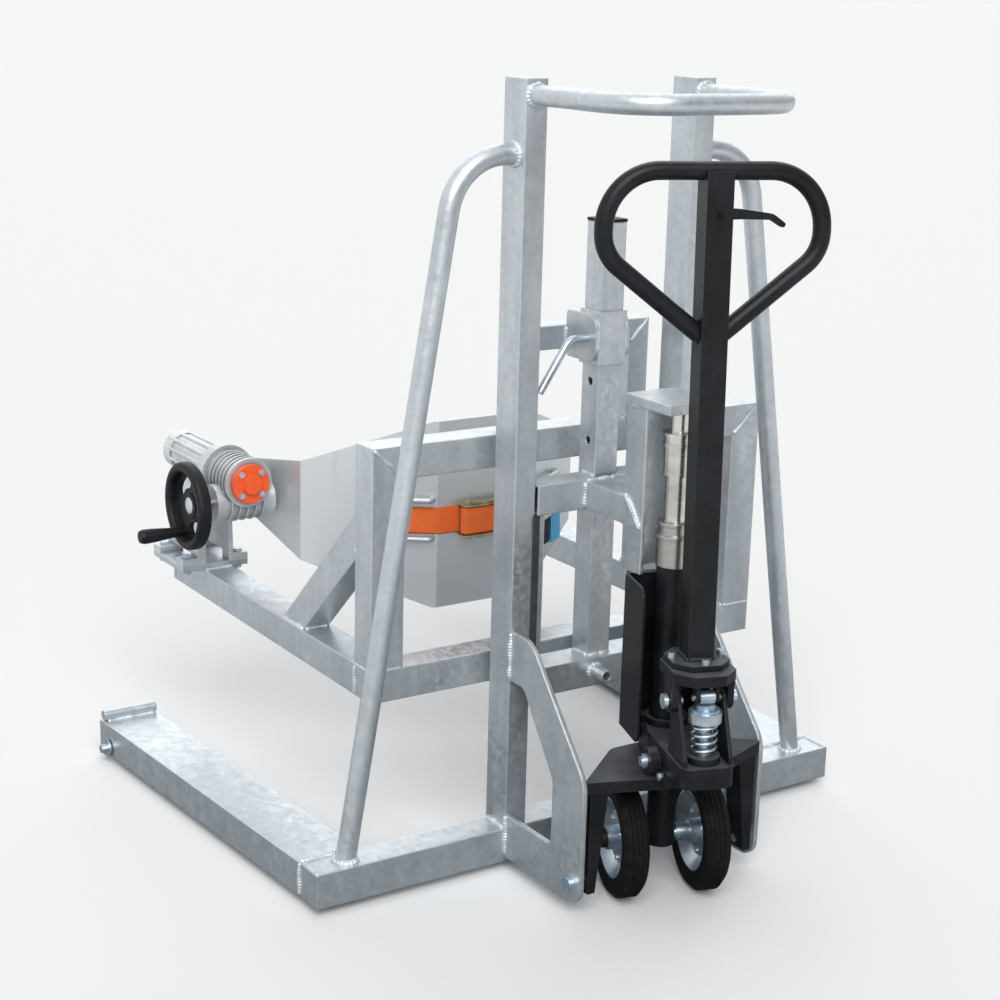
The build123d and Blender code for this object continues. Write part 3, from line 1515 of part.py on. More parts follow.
with BuildPart() as bearing_stand:
    stand_x = (gear_base_in + foot_inset, gear_base_out - foot_inset)
    stand_mid = -gear_x
    box(stand_x, gear_base_y, (arm_top + weld_gap, gear_base_top))
    column = [
        (gear_base_y[0] + foot_inset, gear_base_top),
        (gear_base_y[1] - foot_inset, gear_base_top),
        (tilt_y + chamber_r - 10, tilt_z),
        (tilt_y - chamber_r + 10, tilt_z),
    ]
    column_half = 10
    prism(Plane.YZ.offset(stand_mid - column_half), column, 2 * column_half)
    bearing = Plane.YZ.offset(stand_mid - chamber_half)
    rod(bearing, (tilt_y, tilt_z), chamber_r - 8, 2 * chamber_half)
    rod(bearing, (tilt_y, tilt_z), trunnion_r + running, 2 * chamber_half, Mode.SUBTRACT)
save(bearing_stand, "bearing_stand")

# Cradle: one sheet bent into five flats around the drum
rear_half_turn = math.radians(shell_rear_half_turn)
side_half_turn = math.pi / 4 - rear_half_turn
oblique = 2 * rear_half_turn


def facet_point(side, radius, along):
    x = side * (radius * math.sin(oblique) + along * math.cos(oblique))
    y = -radius * math.cos(oblique) + along * math.sin(oblique)
    return (x, y)


def rear_corner(side, radius):
    return (side * radius * math.tan(rear_half_turn), -radius)


def side_corner(side, radius):
    return (side * radius, -radius * math.tan(side_half_turn))


shell_front = tilt_y + shell_tip_r
hook_root = strap_end + hook_length
with BuildPart() as cradle_shell:
    plan = []
    for radius, order in ((shell_r, (-1, 1)), (shell_outer, (1, -1))):
        first, last = order
        plan += [
            (first * radius, shell_front),
            side_corner(first, radius),
            rear_corner(first, radius),
            rear_corner(last, radius),
            side_corner(last, radius),
            (last * radius, shell_front),
        ]
    prism(Plane.XY.offset(tilt_z - shell_half_height), plan, 2 * shell_half_height)
    bend_y = side_corner(1, shell_outer)[1]
    with BuildSketch(Plane.YZ.offset(-shell_outer)) as side_view:
        with BuildLine():
            Polyline(
                (tilt_y, tilt_z + shell_tip_r),
                (bend_y, tilt_z + shell_side_half_height),
                (-shell_r, tilt_z + shell_half_height),
                (-shell_outer, tilt_z + shell_half_height),
                (-shell_outer, tilt_z - shell_half_height),
                (-shell_r, tilt_z - shell_half_height),
                (bend_y, tilt_z - shell_side_half_height),
                (tilt_y, tilt_z - shell_tip_r),
            )
            ThreePointArc(
                (tilt_y, tilt_z - shell_tip_r),
                (shell_front, tilt_z),
                (tilt_y, tilt_z + shell_tip_r),
            )
        make_face()
    extrude(side_view.sketch, amount=2 * shell_outer, mode=Mode.INTERSECT)
    slot_half = strap_width / 2 + hook_side_gap
    for side in (-1, 1):
        slot = [
            facet_point(side, shell_r - shell_t, hook_root),
            facet_point(side, shell_r - shell_t, hook_root + hook_slot),
            facet_point(side, shell_outer + shell_t, hook_root + hook_slot),
            facet_point(side, shell_outer + shell_t, hook_root),
        ]
        prism(Plane.XY.offset(strap_z - slot_half), slot, 2 * slot_half, Mode.SUBTRACT)
        bolt_plane = Plane.YZ.offset(span(side, shell_r, shell_outer)[0])
        for count in range(4):
            angle = math.pi / 4 + count * math.pi / 2
            place = (
                tilt_y + trunnion_bolt_circle * math.cos(angle),
                tilt_z + trunnion_bolt_circle * math.sin(angle),
            )
            rod(bolt_plane, place, trunnion_bolt_r + running, shell_t, Mode.SUBTRACT)
save(cradle_shell, "cradle_shell")

flange_face = shell_outer + weld_gap
flange_outer = flange_face + trunnion_flange_t
with BuildPart() as trunnions:
    left_end = gear_x - chamber_half + 10
    wheel_half = 17
    wheel_x = (gear_x - wheel_half, gear_x + wheel_half)
    left_flange = Plane.YZ.offset(-flange_outer)
    rod(left_flange, (tilt_y, tilt_z), trunnion_flange_r, trunnion_flange_t)
    rod(Plane.YZ.offset(left_end), (tilt_y, tilt_z), trunnion_r, -flange_outer - left_end)
    rod(Plane.YZ.offset(wheel_x[0]), (tilt_y, tilt_z), output_wheel_r, wheel_x[1] - wheel_x[0])
    for count in range(output_teeth):
        angle = 2 * math.pi * count / output_teeth
        place = (tilt_y + output_wheel_r * math.cos(angle), tilt_z + output_wheel_r * math.sin(angle))
        notch = tooth_notch(output_wheel_r, output_teeth)
        rod(Plane.YZ.offset(wheel_x[0]), place, notch, wheel_x[1] - wheel_x[0], Mode.SUBTRACT)
    right_flange = Plane.YZ.offset(flange_face)
    rod(right_flange, (tilt_y, tilt_z), trunnion_flange_r, trunnion_flange_t)
    right_end = -gear_x + chamber_half + end_plate
    rod(Plane.YZ.offset(flange_outer), (tilt_y, tilt_z), trunnion_r, right_end - flange_outer)
    for count in range(4):
        angle = math.pi / 4 + count * math.pi / 2
        place = (
            tilt_y + trunnion_bolt_circle * math.cos(angle),
            tilt_z + trunnion_bolt_circle * math.sin(angle),
        )
        for plane in (left_flange, right_flange):
            rod(plane, place, trunnion_bolt_r + running, trunnion_flange_t, Mode.SUBTRACT)
save(trunnions, "trunnions")

with BuildPart() as trunnion_bolts:
    head = 6
    for side in (-1, 1):
        for count in range(4):
            angle = math.pi / 4 + count * math.pi / 2
            place = (
                tilt_y + trunnion_bolt_circle * math.cos(angle),
                tilt_z + trunnion_bolt_circle * math.sin(angle),
            )
            shank = span(side, shell_r, flange_outer)
            rod(Plane.YZ.offset(shank[0]), place, trunnion_bolt_r, shank[1] - shank[0])
            top = span(side, flange_outer, flange_outer + head)
            hexagon(Plane.YZ.offset(top[0]), place, 3 * trunnion_bolt_r, head)
save(trunnion_bolts, "trunnion_bolts")

# Strap across the back of the cradle, with its hooks, guide rails and ratchet
strap_inner = shell_outer + strap_gap
strap_outer = strap_inner + strap_t
strap_low = strap_z - strap_width / 2
with BuildPart() as strap:
    band = []
    for radius, order in ((strap_inner, (-1, 1)), (strap_outer, (1, -1))):
        first, last = order
        band += [
            facet_point(first, radius, strap_end),
            rear_corner(first, radius),
            rear_corner(last, radius),
            facet_point(last, radius, strap_end),
        ]
    prism(Plane.XY.offset(strap_low), band, strap_width)
    roll_r = 0.45 * ratchet_depth
    spool_y = -strap_outer - strap_gap - 0.55 * ratchet_depth
    roll_end = ratchet_spool_x + roll_length
    roll = Plane.XY.offset(strap_low)
    block(roll, (ratchet_spool_x, roll_end), (spool_y - roll_r, spool_y + roll_r), strap_width)
    rod(roll, (ratchet_spool_x, spool_y), roll_r, strap_width)
    rod(roll, (roll_end, spool_y), roll_r, strap_width)
    rod(roll, (ratchet_spool_x, spool_y), ratchet_spool_r + running, strap_width, Mode.SUBTRACT)
save(strap, "strap")

with BuildPart() as strap_hooks:
    hook_tip = shell_r - 2 * hook_t
    bend = hook_root + 2
    for side in (-1, 1):
        hook = [
            facet_point(side, strap_inner, strap_end + weld_gap),
            facet_point(side, strap_inner, bend),
            facet_point(side, hook_tip, bend),
            facet_point(side, hook_tip, bend + hook_t),
            facet_point(side, strap_inner + hook_t, bend + hook_t),
            facet_point(side, strap_inner + hook_t, strap_end + weld_gap),
        ]
        prism(Plane.XY.offset(strap_low), hook, strap_width)
save(strap_hooks, "strap_hooks")

with BuildPart() as strap_rails:
    rail_reach = shell_outer + rail_standoff
    rail_start = -88
    rail_end = 46
    rail_past = 20
    for side in (-1, 1):
        for rail_z in (strap_z + rail_above, strap_z - rail_below):
            rail_points = [
                facet_point(side, shell_outer + weld_gap, rail_start),
                facet_point(side, rail_reach, rail_start + rail_r / 2),
                facet_point(side, rail_reach, rail_end - rail_r / 2),
                facet_point(side, shell_outer + weld_gap, rail_end),
            ]
            bent_tube(Plane.XY.offset(rail_z), rail_points, rail_r + 0.5, rail_r, 0)
            trim = [
                facet_point(side, shell_outer, rail_start - rail_past),
                facet_point(side, shell_outer, rail_end + rail_past),
                facet_point(side, shell_r, rail_end + rail_past),
                facet_point(side, shell_r, rail_start - rail_past),
            ]
            prism(Plane.XY.offset(rail_z - 2 * rail_r), trim, 4 * rail_r, Mode.SUBTRACT)
save(strap_rails, "strap_rails")

ratchet_near = -strap_outer - strap_gap
ratchet_far = ratchet_near - ratchet_depth
ratchet_half = strap_width / 2 + 2
with BuildPart() as ratchet_frame:
    web = 1.5
    low = strap_z - ratchet_half - ratchet_plate
    corner = 10
    for level in (low, strap_z + ratchet_half):
        soft_prism(
            Plane.XY.offset(level),
            [
                (ratchet_left, ratchet_near),
                (ratchet_right, ratchet_near),
                (ratchet_right, ratchet_far),
                (ratchet_left, ratchet_far),
            ],
            [1, 1, corner, corner],
            ratchet_plate,
        )
    web_z = (strap_z - ratchet_half, strap_z + ratchet_half)
    box((ratchet_left + 2, ratchet_right - 2), (ratchet_near - web, ratchet_near), web_z)
    spool_reach = ratchet_half + 2 * ratchet_plate + 3
    rod(Plane.XY.offset(strap_z - spool_reach), (ratchet_spool_x, spool_y), ratchet_spool_r, 2 * spool_reach)
save(ratchet_frame, "ratchet_frame")

with BuildPart() as ratchet_handle:
    handle_in = ratchet_half + ratchet_plate + 0.5
    handle_half = 9
    for level in (strap_z - handle_in - ratchet_plate, strap_z + handle_in):
        plane = Plane.XY.offset(level)
        handle_y = (spool_y - handle_half, spool_y + handle_half)
        block(plane, (ratchet_spool_x, ratchet_handle_end), handle_y, ratchet_plate)
        rod(plane, (ratchet_spool_x, spool_y), handle_half, ratchet_plate)
        rod(plane, (ratchet_spool_x, spool_y), ratchet_spool_r + running, ratchet_plate, Mode.SUBTRACT)
    bar_depth = 14
    bar_x = (ratchet_handle_end - bar_depth, ratchet_handle_end)
    bar_y = (spool_y - handle_half, spool_y + handle_half)
    box(bar_x, bar_y, (strap_z - handle_in, strap_z + handle_in))
save(ratchet_handle, "ratchet_handle")
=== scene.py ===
import json
import math

import bpy
import numpy as np
from mathutils import Matrix, Vector


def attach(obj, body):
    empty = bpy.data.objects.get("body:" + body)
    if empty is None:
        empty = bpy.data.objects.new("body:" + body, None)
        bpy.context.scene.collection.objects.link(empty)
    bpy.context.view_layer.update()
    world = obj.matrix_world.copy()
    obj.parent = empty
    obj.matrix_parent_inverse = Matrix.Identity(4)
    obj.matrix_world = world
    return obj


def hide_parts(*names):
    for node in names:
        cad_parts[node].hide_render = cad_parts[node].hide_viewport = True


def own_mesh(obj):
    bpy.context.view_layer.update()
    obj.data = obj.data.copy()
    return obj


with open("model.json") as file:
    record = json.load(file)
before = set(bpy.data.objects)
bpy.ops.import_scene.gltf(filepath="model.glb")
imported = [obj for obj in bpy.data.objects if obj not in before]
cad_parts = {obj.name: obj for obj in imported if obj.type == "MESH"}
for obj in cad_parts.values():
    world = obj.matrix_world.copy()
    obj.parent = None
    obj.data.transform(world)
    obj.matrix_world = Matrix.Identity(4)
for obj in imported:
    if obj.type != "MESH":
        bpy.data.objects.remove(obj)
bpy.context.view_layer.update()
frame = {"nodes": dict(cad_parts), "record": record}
nodes = frame["nodes"]
print("frame loaded with", len(nodes), "nodes")


# sRGB hex to linear RGBA, one channel at a time
def linear(hexColour):
    channels = [int(hexColour[i:i + 2], 16) / 255 for i in (1, 3, 5)]
    return [c / 12.92 if c <= 0.04045 else ((c + 0.055) / 1.055) ** 2.4 for c in channels] + [1.0]


# one node: settings go to its properties or sockets, links join sockets of earlier nodes to its inputs
def addNode(tree, kind, settings=None, links=None):
    made = tree.nodes.new(kind)
    for name, value in (settings or {}).items():
        if isinstance(name, int) or name not in made.bl_rna.properties:
            made.inputs[name].default_value = value
        else:
            setattr(made, name, value)
    for name, source in (links or {}).items():
        tree.links.new(source, made.inputs[name])
    return made


# a value's span from low to high, laid onto the span from toLow to toHigh and held inside it
def ranged(tree, value, low=0.0, high=1.0, toLow=0.0, toHigh=1.0):
    spans = {"From Min": low, "From Max": high, "To Min": toLow, "To Max": toHigh}
    return addNode(tree, "ShaderNodeMapRange", spans, {"Value": value}).outputs["Result"]


# a value taken from below the middle to above it
def spread(tree, value, middle, below, above):
    return ranged(tree, value, toLow=middle - below, toHigh=middle + above)


def calculated(tree, operation, first, second):
    return addNode(tree, "ShaderNodeMath", {"operation": operation}, {0: first, 1: second}).outputs["Value"]


def scaled(tree, value, factor):
    return addNode(tree, "ShaderNodeMath", {"operation": "MULTIPLY", 1: factor}, {0: value}).outputs["Value"]


# two colours mixed by a share, each a hex colour or the socket of an earlier node
def mixed(tree, share, low, high):
    settings, links = {"data_type": "RGBA"}, {0: share}
    for socket, colour in ((6, low), (7, high)):
        if isinstance(colour, str):
            settings[socket] = linear(colour)
        else:
            links[socket] = colour
    return addNode(tree, "ShaderNodeMix", settings, links).outputs[2]


# a value from an earlier node, drawn towards a constant by a share
def mixedValue(tree, share, low, high):
    return addNode(tree, "ShaderNodeMix", {"data_type": "FLOAT", 3: high}, {0: share, 2: low}).outputs[0]


def noise(tree, place, scale, detail, roughness):
    settings = {"Scale": scale, "Detail": detail, "Roughness": roughness}
    return addNode(tree, "ShaderNodeTexNoise", settings, {"Vector": place}).outputs["Fac"]


# noise drawn out: its scale along each axis, and the lean of those axes
def drawnNoise(tree, place, scale, lean, detail, roughness):
    mapping = addNode(tree, "ShaderNodeMapping", {"Scale": scale, "Rotation": lean}, {"Vector": place})
    return noise(tree, mapping.outputs["Vector"], 1.0, detail, roughness)


def dotted(tree, first, second):
    made = addNode(tree, "ShaderNodeVectorMath", {"operation": "DOT_PRODUCT"}, {0: first, 1: second})
    return made.outputs["Value"]


def heightOf(tree, vector):
    return addNode(tree, "ShaderNodeSeparateXYZ", None, {"Vector": vector}).outputs["Z"]


def faceNormal(tree):
    return addNode(tree, "ShaderNodeNewGeometry").outputs["Normal"]


edgeSamples = 4
flatCosine = 0.985


def softEdge(tree, radiusMm):
    settings = {"Radius": radiusMm / 1000, "samples": edgeSamples}
    return addNode(tree, "ShaderNodeBevel", settings).outputs["Normal"]


# share of wear on edges: none while the cosine between the softened normal and the face's own is over
# flatCosine, most where it has fallen to sharp
def edgeWear(tree, soft, sharp, most):
    return ranged(tree, dotted(tree, soft, faceNormal(tree)), flatCosine, sharp, 0.0, most)


# bump from a height, on top of the softened normal where there is one
def bumped(tree, height, strength, distanceMm, soft=None):
    links = {"Height": height} if soft is None else {"Height": height, "Normal": soft}
    settings = {"Strength": strength, "Distance": distanceMm / 1000}
    return addNode(tree, "ShaderNodeBump", settings, links).outputs["Normal"]


# the shader's inputs: sockets of earlier nodes are linked, constants are set
def dress(tree, shader, inputs):
    for name, value in inputs.items():
        if isinstance(value, bpy.types.NodeSocket):
            tree.links.new(value, shader.inputs[name])
        else:
            shader.inputs[name].default_value = value


def newMaterial(name):
    material = bpy.data.materials.new(name)
    material.use_nodes = True
    tree = material.node_tree
    tree.nodes.clear()
    output = tree.nodes.new("ShaderNodeOutputMaterial")
    shader = tree.nodes.new("ShaderNodeBsdfPrincipled")
    tree.links.new(shader.outputs["BSDF"], output.inputs["Surface"])
    place = addNode(tree, "ShaderNodeTexCoord").outputs["Object"]
    return material, tree, shader, place


# Camera at the photograph's place
photoView = {"place": (-1.8462, -3.1552, 1.4540), "heading": 33.441, "pitch": 15.071, "roll": 1.55,
             "lens": 68.59, "sensor": 36, "farthest": 2000}


def addCamera(view):
    camera = bpy.data.objects.new("photoCamera", bpy.data.cameras.new("photoCamera"))
    bpy.context.scene.collection.objects.link(camera)
    camera.data.lens = view["lens"]
    camera.data.sensor_width = view["sensor"]
    camera.data.clip_end = view["farthest"]
    turn = Matrix.Rotation(-math.radians(view["heading"]), 4, "Z")
    tilt = Matrix.Rotation(math.radians(90 - view["pitch"]), 4, "X")
    roll = Matrix.Rotation(math.radians(view["roll"]), 4, "Z")
    camera.matrix_world = Matrix.Translation(view["place"]) @ turn @ tilt @ roll
    bpy.context.scene.camera = camera


addCamera(photoView)

# Studio: a soft key light from behind the camera's left, a very wide one from over the far side that shines
# on upward faces, a sky that is darker behind the camera, a pale floor; gloss sees the floor darker, as
# painted shade in reflections standing in for the object's own shade on it, up to the nearer glossReach from
# glossMiddle, fading to the floor's own colour at the farther one
studio = {
    "key": {"from": (-0.42, -0.78, 0.75), "strength": 2.4, "angle": 45},
    "back": {"from": (0.55, 0.76, 0.70), "strength": 0.9, "angle": 70},
    "sky": "#fbfcfd", "skyShade": "#3f454b", "skyLean": (-0.30, 0.55, 0.75), "skySpan": (-0.7, 0.8),
    "fill": 0.50, "behind": "#f5f6f6",
    "floor": "#efefef", "paintedShadeInGloss": "#7e8388", "glossMiddle": (0.0, -0.45, 0.0), "glossReach": (0.8, 2.6),
    "floorHalf": 500.0, "floorRoughness": 0.9, "floorGleam": 0.1,
}


def addSun(name, light):
    sun = bpy.data.objects.new(name, bpy.data.lights.new(name, "SUN"))
    bpy.context.scene.collection.objects.link(sun)
    sun.data.energy = light["strength"]
    sun.data.angle = math.radians(light["angle"])
    sun.rotation_euler = Vector(light["from"]).to_track_quat("Z", "Y").to_euler()


# sky colour runs from skyShade to sky along skyLean; the camera sees it as pale as the floor,
# gloss and glass see it whole, the rest takes the fill share
def addSky(light):
    world = bpy.data.worlds.new("studioSky")
    bpy.context.scene.world = world
    world.use_nodes = True
    tree = world.node_tree
    tree.nodes.clear()
    way = addNode(tree, "ShaderNodeTexCoord").outputs["Generated"]
    lean = addNode(tree, "ShaderNodeVectorMath", {"operation": "DOT_PRODUCT", 1: light["skyLean"]}, {0: way})
    bright = ranged(tree, lean.outputs["Value"], *light["skySpan"])
    dome = mixed(tree, bright, light["skyShade"], light["sky"])
    path = addNode(tree, "ShaderNodeLightPath").outputs
    colour = mixed(tree, path["Is Camera Ray"], dome, light["behind"])
    seen = calculated(tree, "MAXIMUM", path["Is Camera Ray"], path["Is Glossy Ray"])
    clear = calculated(tree, "MAXIMUM", seen, path["Is Transmission Ray"])
    strength = ranged(tree, clear, toLow=light["fill"])
    sky = addNode(tree, "ShaderNodeBackground", None, {"Color": colour, "Strength": strength})
    addNode(tree, "ShaderNodeOutputWorld", None, {"Surface": sky.outputs["Background"]})


def addFloor(light):
    half = light["floorHalf"]
    corners = [(-half, -half, 0), (half, -half, 0), (half, half, 0), (-half, half, 0)]
    mesh = bpy.data.meshes.new("studioFloor")
    mesh.from_pydata(corners, [], [(0, 1, 2, 3)])
    floor = bpy.data.objects.new("studioFloor", mesh)
    bpy.context.scene.collection.objects.link(floor)
    material, tree, shader, place = newMaterial("paleStudioFloor")
    # painted shade: glossy rays see the floor darker near the object, in place of the object's own shade on
    # it
    apart = addNode(tree, "ShaderNodeVectorMath", {"operation": "DISTANCE", 1: light["glossMiddle"]},
                    {0: place})
    near = ranged(tree, apart.outputs["Value"], *light["glossReach"], 1.0, 0.0)
    glossy = addNode(tree, "ShaderNodeLightPath").outputs["Is Glossy Ray"]
    colour = mixed(tree, calculated(tree, "MULTIPLY", near, glossy), light["floor"], light["paintedShadeInGloss"])
    dress(tree, shader, {"Base Color": colour, "Roughness": light["floorRoughness"],
                         "Specular IOR Level": light["floorGleam"]})
    mesh.materials.append(material)


addSun("keySun", studio["key"])
addSun("backSun", studio["back"])
addSky(studio)
addFloor(studio)
bpy.context.scene.view_settings.view_transform = "Standard"
print("camera, light and floor set")

# In the finishes a noise is (scale to a metre, detail, roughness), a drawn noise (scale along each axis, lean
# of those axes, detail, roughness), a span (low, high) with what the two become where that isn't 0 and 1, a
# roughness (middle, below, above), wear on edges (sharp, most) and a bump (strength, millimetres)

# Hot-dip galvanised steel: dipped in molten zinc, so a pale satin grey with faint crystals, drain runs and
# bright edges
galvanised = {
    "bright": "#d3d9dd", "dull": "#bec5ca", "edge": "#eef1f3", "scrape": "#9aa3a8", "metallic": 0.8,
    "crystalMm": 9, "frost": (0.0, 1.0, 0.95, 1.03),
    "cloud": (1000 / 90, 5.0, 0.65), "run": ((1000 / 22, 1000 / 22, 1000 / 160), (0, 0, 0), 3.0, 0.5),
    "patch": (0.66, 1.34), "edgeMm": 4.0, "wear": (0.86, 0.6),
    "scuff": ((30, 30, 260), (0.4, 0.5, 0.2), 6.0, 0.7), "scuffed": (0.68, 0.76, 0.0, 0.25),
    "grain": (1000 / 6.4, 2.0, 0.5), "roughness": (0.40, 0.08, 0.10), "bump": (0.2, 0.6),
}
# the weld seams under the same zinc: rougher and paler, because zinc stands thicker on them
galvanisedSeam = dict(
    galvanised, bright="#e3e8eb", dull="#c6cdd2", metallic=0.55, crystalMm=5, cloud=(1000 / 30, 5.0, 0.65),
    run=((1000 / 9, 1000 / 9, 1000 / 30), (0, 0, 0), 3.0, 0.5), edgeMm=1.0, grain=(1000 / 9.6, 2.0, 0.5),
    roughness=(0.42, 0.08, 0.10), bump=(0.6, 0.6))


def hotDipGalvanisedSteel(name, look):
    material, tree, shader, place = newMaterial(name)
    crystal = addNode(tree, "ShaderNodeTexVoronoi", {"Scale": 1000 / look["crystalMm"]}, {"Vector": place})
    facet = addNode(tree, "ShaderNodeSeparateColor", None, {"Color": crystal.outputs["Color"]}).outputs
    cloud = noise(tree, place, *look["cloud"])
    run = drawnNoise(tree, place, *look["run"])
    patch = ranged(tree, calculated(tree, "ADD", cloud, run), *look["patch"])
    frost = ranged(tree, facet["Red"], *look["frost"])
    mottled = addNode(tree, "ShaderNodeVectorMath", {"operation": "SCALE"},
                      {0: mixed(tree, patch, look["dull"], look["bright"]), "Scale": frost})
    soft = softEdge(tree, look["edgeMm"])
    worn = mixed(tree, edgeWear(tree, soft, *look["wear"]), mottled.outputs["Vector"], look["edge"])
    scuff = drawnNoise(tree, place, *look["scuff"])
    grain = noise(tree, place, *look["grain"])
    dress(tree, shader, {
        "Base Color": mixed(tree, ranged(tree, scuff, *look["scuffed"]), worn, look["scrape"]),
        "Roughness": spread(tree, facet["Green"], *look["roughness"]),
        "Normal": bumped(tree, calculated(tree, "ADD", grain, run), *look["bump"], soft),
        "Metallic": look["metallic"],
    })
    return material


# Black powder coat: baked plastic powder, so a deep grey-black with a fine orange peel, dust that has settled
# on upward faces and paler rubbed edges
powder = {
    "black": "#131417", "dust": "#1f2125", "scuff": "#44464a", "edge": "#45474b", "settled": "#74777f",
    "cloud": (1000 / 70, 6.0, 0.7), "dusty": (0.42, 0.68),
    "scratch": ((190, 40, 40), (0.3, 0.2, 0.7), 7.0, 0.72), "scratched": (0.66, 0.78, 0.0, 0.55),
    "facingUp": (0.7, 1.0, 0.0, 0.6), "layer": (0.3, 0.7, 0.35, 1.0), "edgeMm": 2.0, "wear": (0.84, 0.7),
    "peel": (1000 / 4.4, 1.0, 0.5), "roughness": (0.36, 0.08, 0.16), "bump": (0.16, 0.4), "gleam": 0.25,
}
# the lift cylinder: the same coat below, a bare turned steel head above headAbove
powderCylinder = dict(powder, headAbove=0.568, headBlend=0.0004, head="#d2d0cb", headShade="#a5a29b",
                      headLines=((12, 12, 1400), (0, 0, 0), 2.0, 0.5), headRoughness=0.30)


def blackPowderCoat(name, look):
    material, tree, shader, place = newMaterial(name)
    dust = noise(tree, place, *look["cloud"])
    coat = mixed(tree, ranged(tree, dust, *look["dusty"]), look["black"], look["dust"])
    scratch = drawnNoise(tree, place, *look["scratch"])
    scuffed = mixed(tree, ranged(tree, scratch, *look["scratched"]), coat, look["scuff"])
    soft = softEdge(tree, look["edgeMm"])
    facingUp = ranged(tree, heightOf(tree, faceNormal(tree)), *look["facingUp"])
    layer = calculated(tree, "MULTIPLY", facingUp, ranged(tree, dust, *look["layer"]))
    dusty = mixed(tree, layer, scuffed, look["settled"])
    colour = mixed(tree, edgeWear(tree, soft, *look["wear"]), dusty, look["edge"])
    gloss = spread(tree, dust, *look["roughness"])
    head = 0.0
    if "headAbove" in look:
        blend = look["headBlend"]
        head = ranged(tree, heightOf(tree, place), look["headAbove"] - blend, look["headAbove"] + blend)
        lines = drawnNoise(tree, place, *look["headLines"])
        colour = mixed(tree, head, colour, mixed(tree, lines, look["headShade"], look["head"]))
        gloss = mixedValue(tree, head, gloss, look["headRoughness"])
    peel = noise(tree, place, *look["peel"])
    dress(tree, shader, {"Base Color": colour, "Roughness": gloss, "Metallic": head,
                         "Normal": bumped(tree, peel, *look["bump"], soft),
                         "Specular IOR Level": look["gleam"]})
    return material


# Plated steel: a thin electroplated zinc skin, so bright metal with cloudy passivation tints and small stains
clearZinc = {
    "bright": "#dfe5ea", "tint": "#a6bccf", "stain": "#8c9296", "metallic": 0.92,
    "cloud": (1000 / 38, 4.0, 0.6), "tinted": (0.38, 0.66),
    "speck": (3000 / 38, 5.0, 0.75), "stained": (0.60, 0.74, 0.0, 0.5),
    "edgeMm": 0.8, "roughness": (0.30, 0.10, 0.14), "bump": (0.10, 0.3),
}
yellowZinc = dict(
    clearZinc, bright="#d2c8a8", tint="#a59262", stain="#4a3b2c", metallic=0.75, cloud=(1000 / 14, 4.0, 0.6),
    speck=(3000 / 14, 5.0, 0.75), stained=(0.60, 0.74, 0.0, 1.0), roughness=(0.40, 0.10, 0.14))
darkEnd = {"darkBlend": 0.0003, "darkRoughness": 0.55}
# the wheel axle: plated between the wheels, dark brown where its end caps have rusted and greased over
axleZinc = dict(clearZinc, **darkEnd, darkFrom=0.0953, dark="#3c3430", darkAt=(0.0, -0.870, 0.1),
                darkWay=(0.9483, -0.3173, 0.0))
# the tiller's screws: plated at the foot, the lever pin at the top painted black with the tiller
tillerZinc = dict(clearZinc, **darkEnd, darkFrom=1.0, dark="#1b1c1f", darkAt=(0.0, 0.0, 0.0),
                  darkWay=(0.0, 0.0, 1.0))


def platedSteel(name, look):
    material, tree, shader, place = newMaterial(name)
    cloud = noise(tree, place, *look["cloud"])
    skin = mixed(tree, ranged(tree, cloud, *look["tinted"]), look["bright"], look["tint"])
    speck = noise(tree, place, *look["speck"])
    colour = mixed(tree, ranged(tree, speck, *look["stained"]), skin, look["stain"])
    gloss = spread(tree, speck, *look["roughness"])
    if "dark" in look:
        apart = addNode(tree, "ShaderNodeVectorMath", {"operation": "SUBTRACT", 1: look["darkAt"]},
                        {0: place})
        side = addNode(tree, "ShaderNodeVectorMath", {"operation": "DOT_PRODUCT", 1: look["darkWay"]},
                       {0: apart.outputs["Vector"]})
        reach = addNode(tree, "ShaderNodeMath", {"operation": "ABSOLUTE"}, {0: side.outputs["Value"]})
        blend = look["darkBlend"]
        cap = ranged(tree, reach.outputs["Value"], look["darkFrom"] - blend, look["darkFrom"] + blend)
        colour = mixed(tree, cap, colour, look["dark"])
        gloss = mixedValue(tree, cap, gloss, look["darkRoughness"])
    dress(tree, shader, {"Base Color": colour, "Roughness": gloss, "Metallic": look["metallic"],
                         "Normal": bumped(tree, speck, *look["bump"], softEdge(tree, look["edgeMm"]))})
    return material


# Ground and chromed rod: hard chrome ground to size, so a warm mirror with fine lines round it and some oil
chrome = {
    "bright": "#dedcd8", "oil": "#b7b3ac", "metallic": 1.0, "film": (18.0, 4.0, 0.5), "oily": (0.45, 0.7),
    "lines": ((10, 10, 1000 / 0.9), (0, 0, 0), 2.0, 0.5), "roughness": (0.20, 0.06, 0.16),
    "bump": (0.08, 0.2),
}


def groundChromeRod(name, look):
    material, tree, shader, place = newMaterial(name)
    lines = drawnNoise(tree, place, *look["lines"])
    oily = ranged(tree, noise(tree, place, *look["film"]), *look["oily"])
    dress(tree, shader, {
        "Base Color": mixed(tree, oily, look["bright"], look["oil"]), "Metallic": look["metallic"],
        "Roughness": spread(tree, lines, *look["roughness"]), "Normal": bumped(tree, lines, *look["bump"]),
    })
    return material


# Die-cast aluminium: cast in a steel die and shot-blasted, so a dull grey with a sandy grain, dirt spots and
# rubbed edges, with painted shade darkening its recesses from ambient occlusion
casting = {
    "metal": "#dfe2e4", "shade": "#c6cacd", "grimeAndShade": "#5d6164", "edge": "#e6e8e9", "metallic": 0.6,
    "cloud": (1000 / 45, 5.0, 0.65), "shaded": (0.36, 0.64),
    "grain": (1000 / 3, 3.0, 0.5), "grimyAndShaded": (0.64, 0.80, 0.0, 0.5),
    "recessShadeMm": 14, "recessShadeSamples": 6, "recessShade": (0.88, 0.35, 0.0, 0.85),
    "edgeMm": 1.8, "wear": (0.85, 0.6), "roughness": (0.44, 0.08, 0.12), "bump": (0.30, 0.5),
}


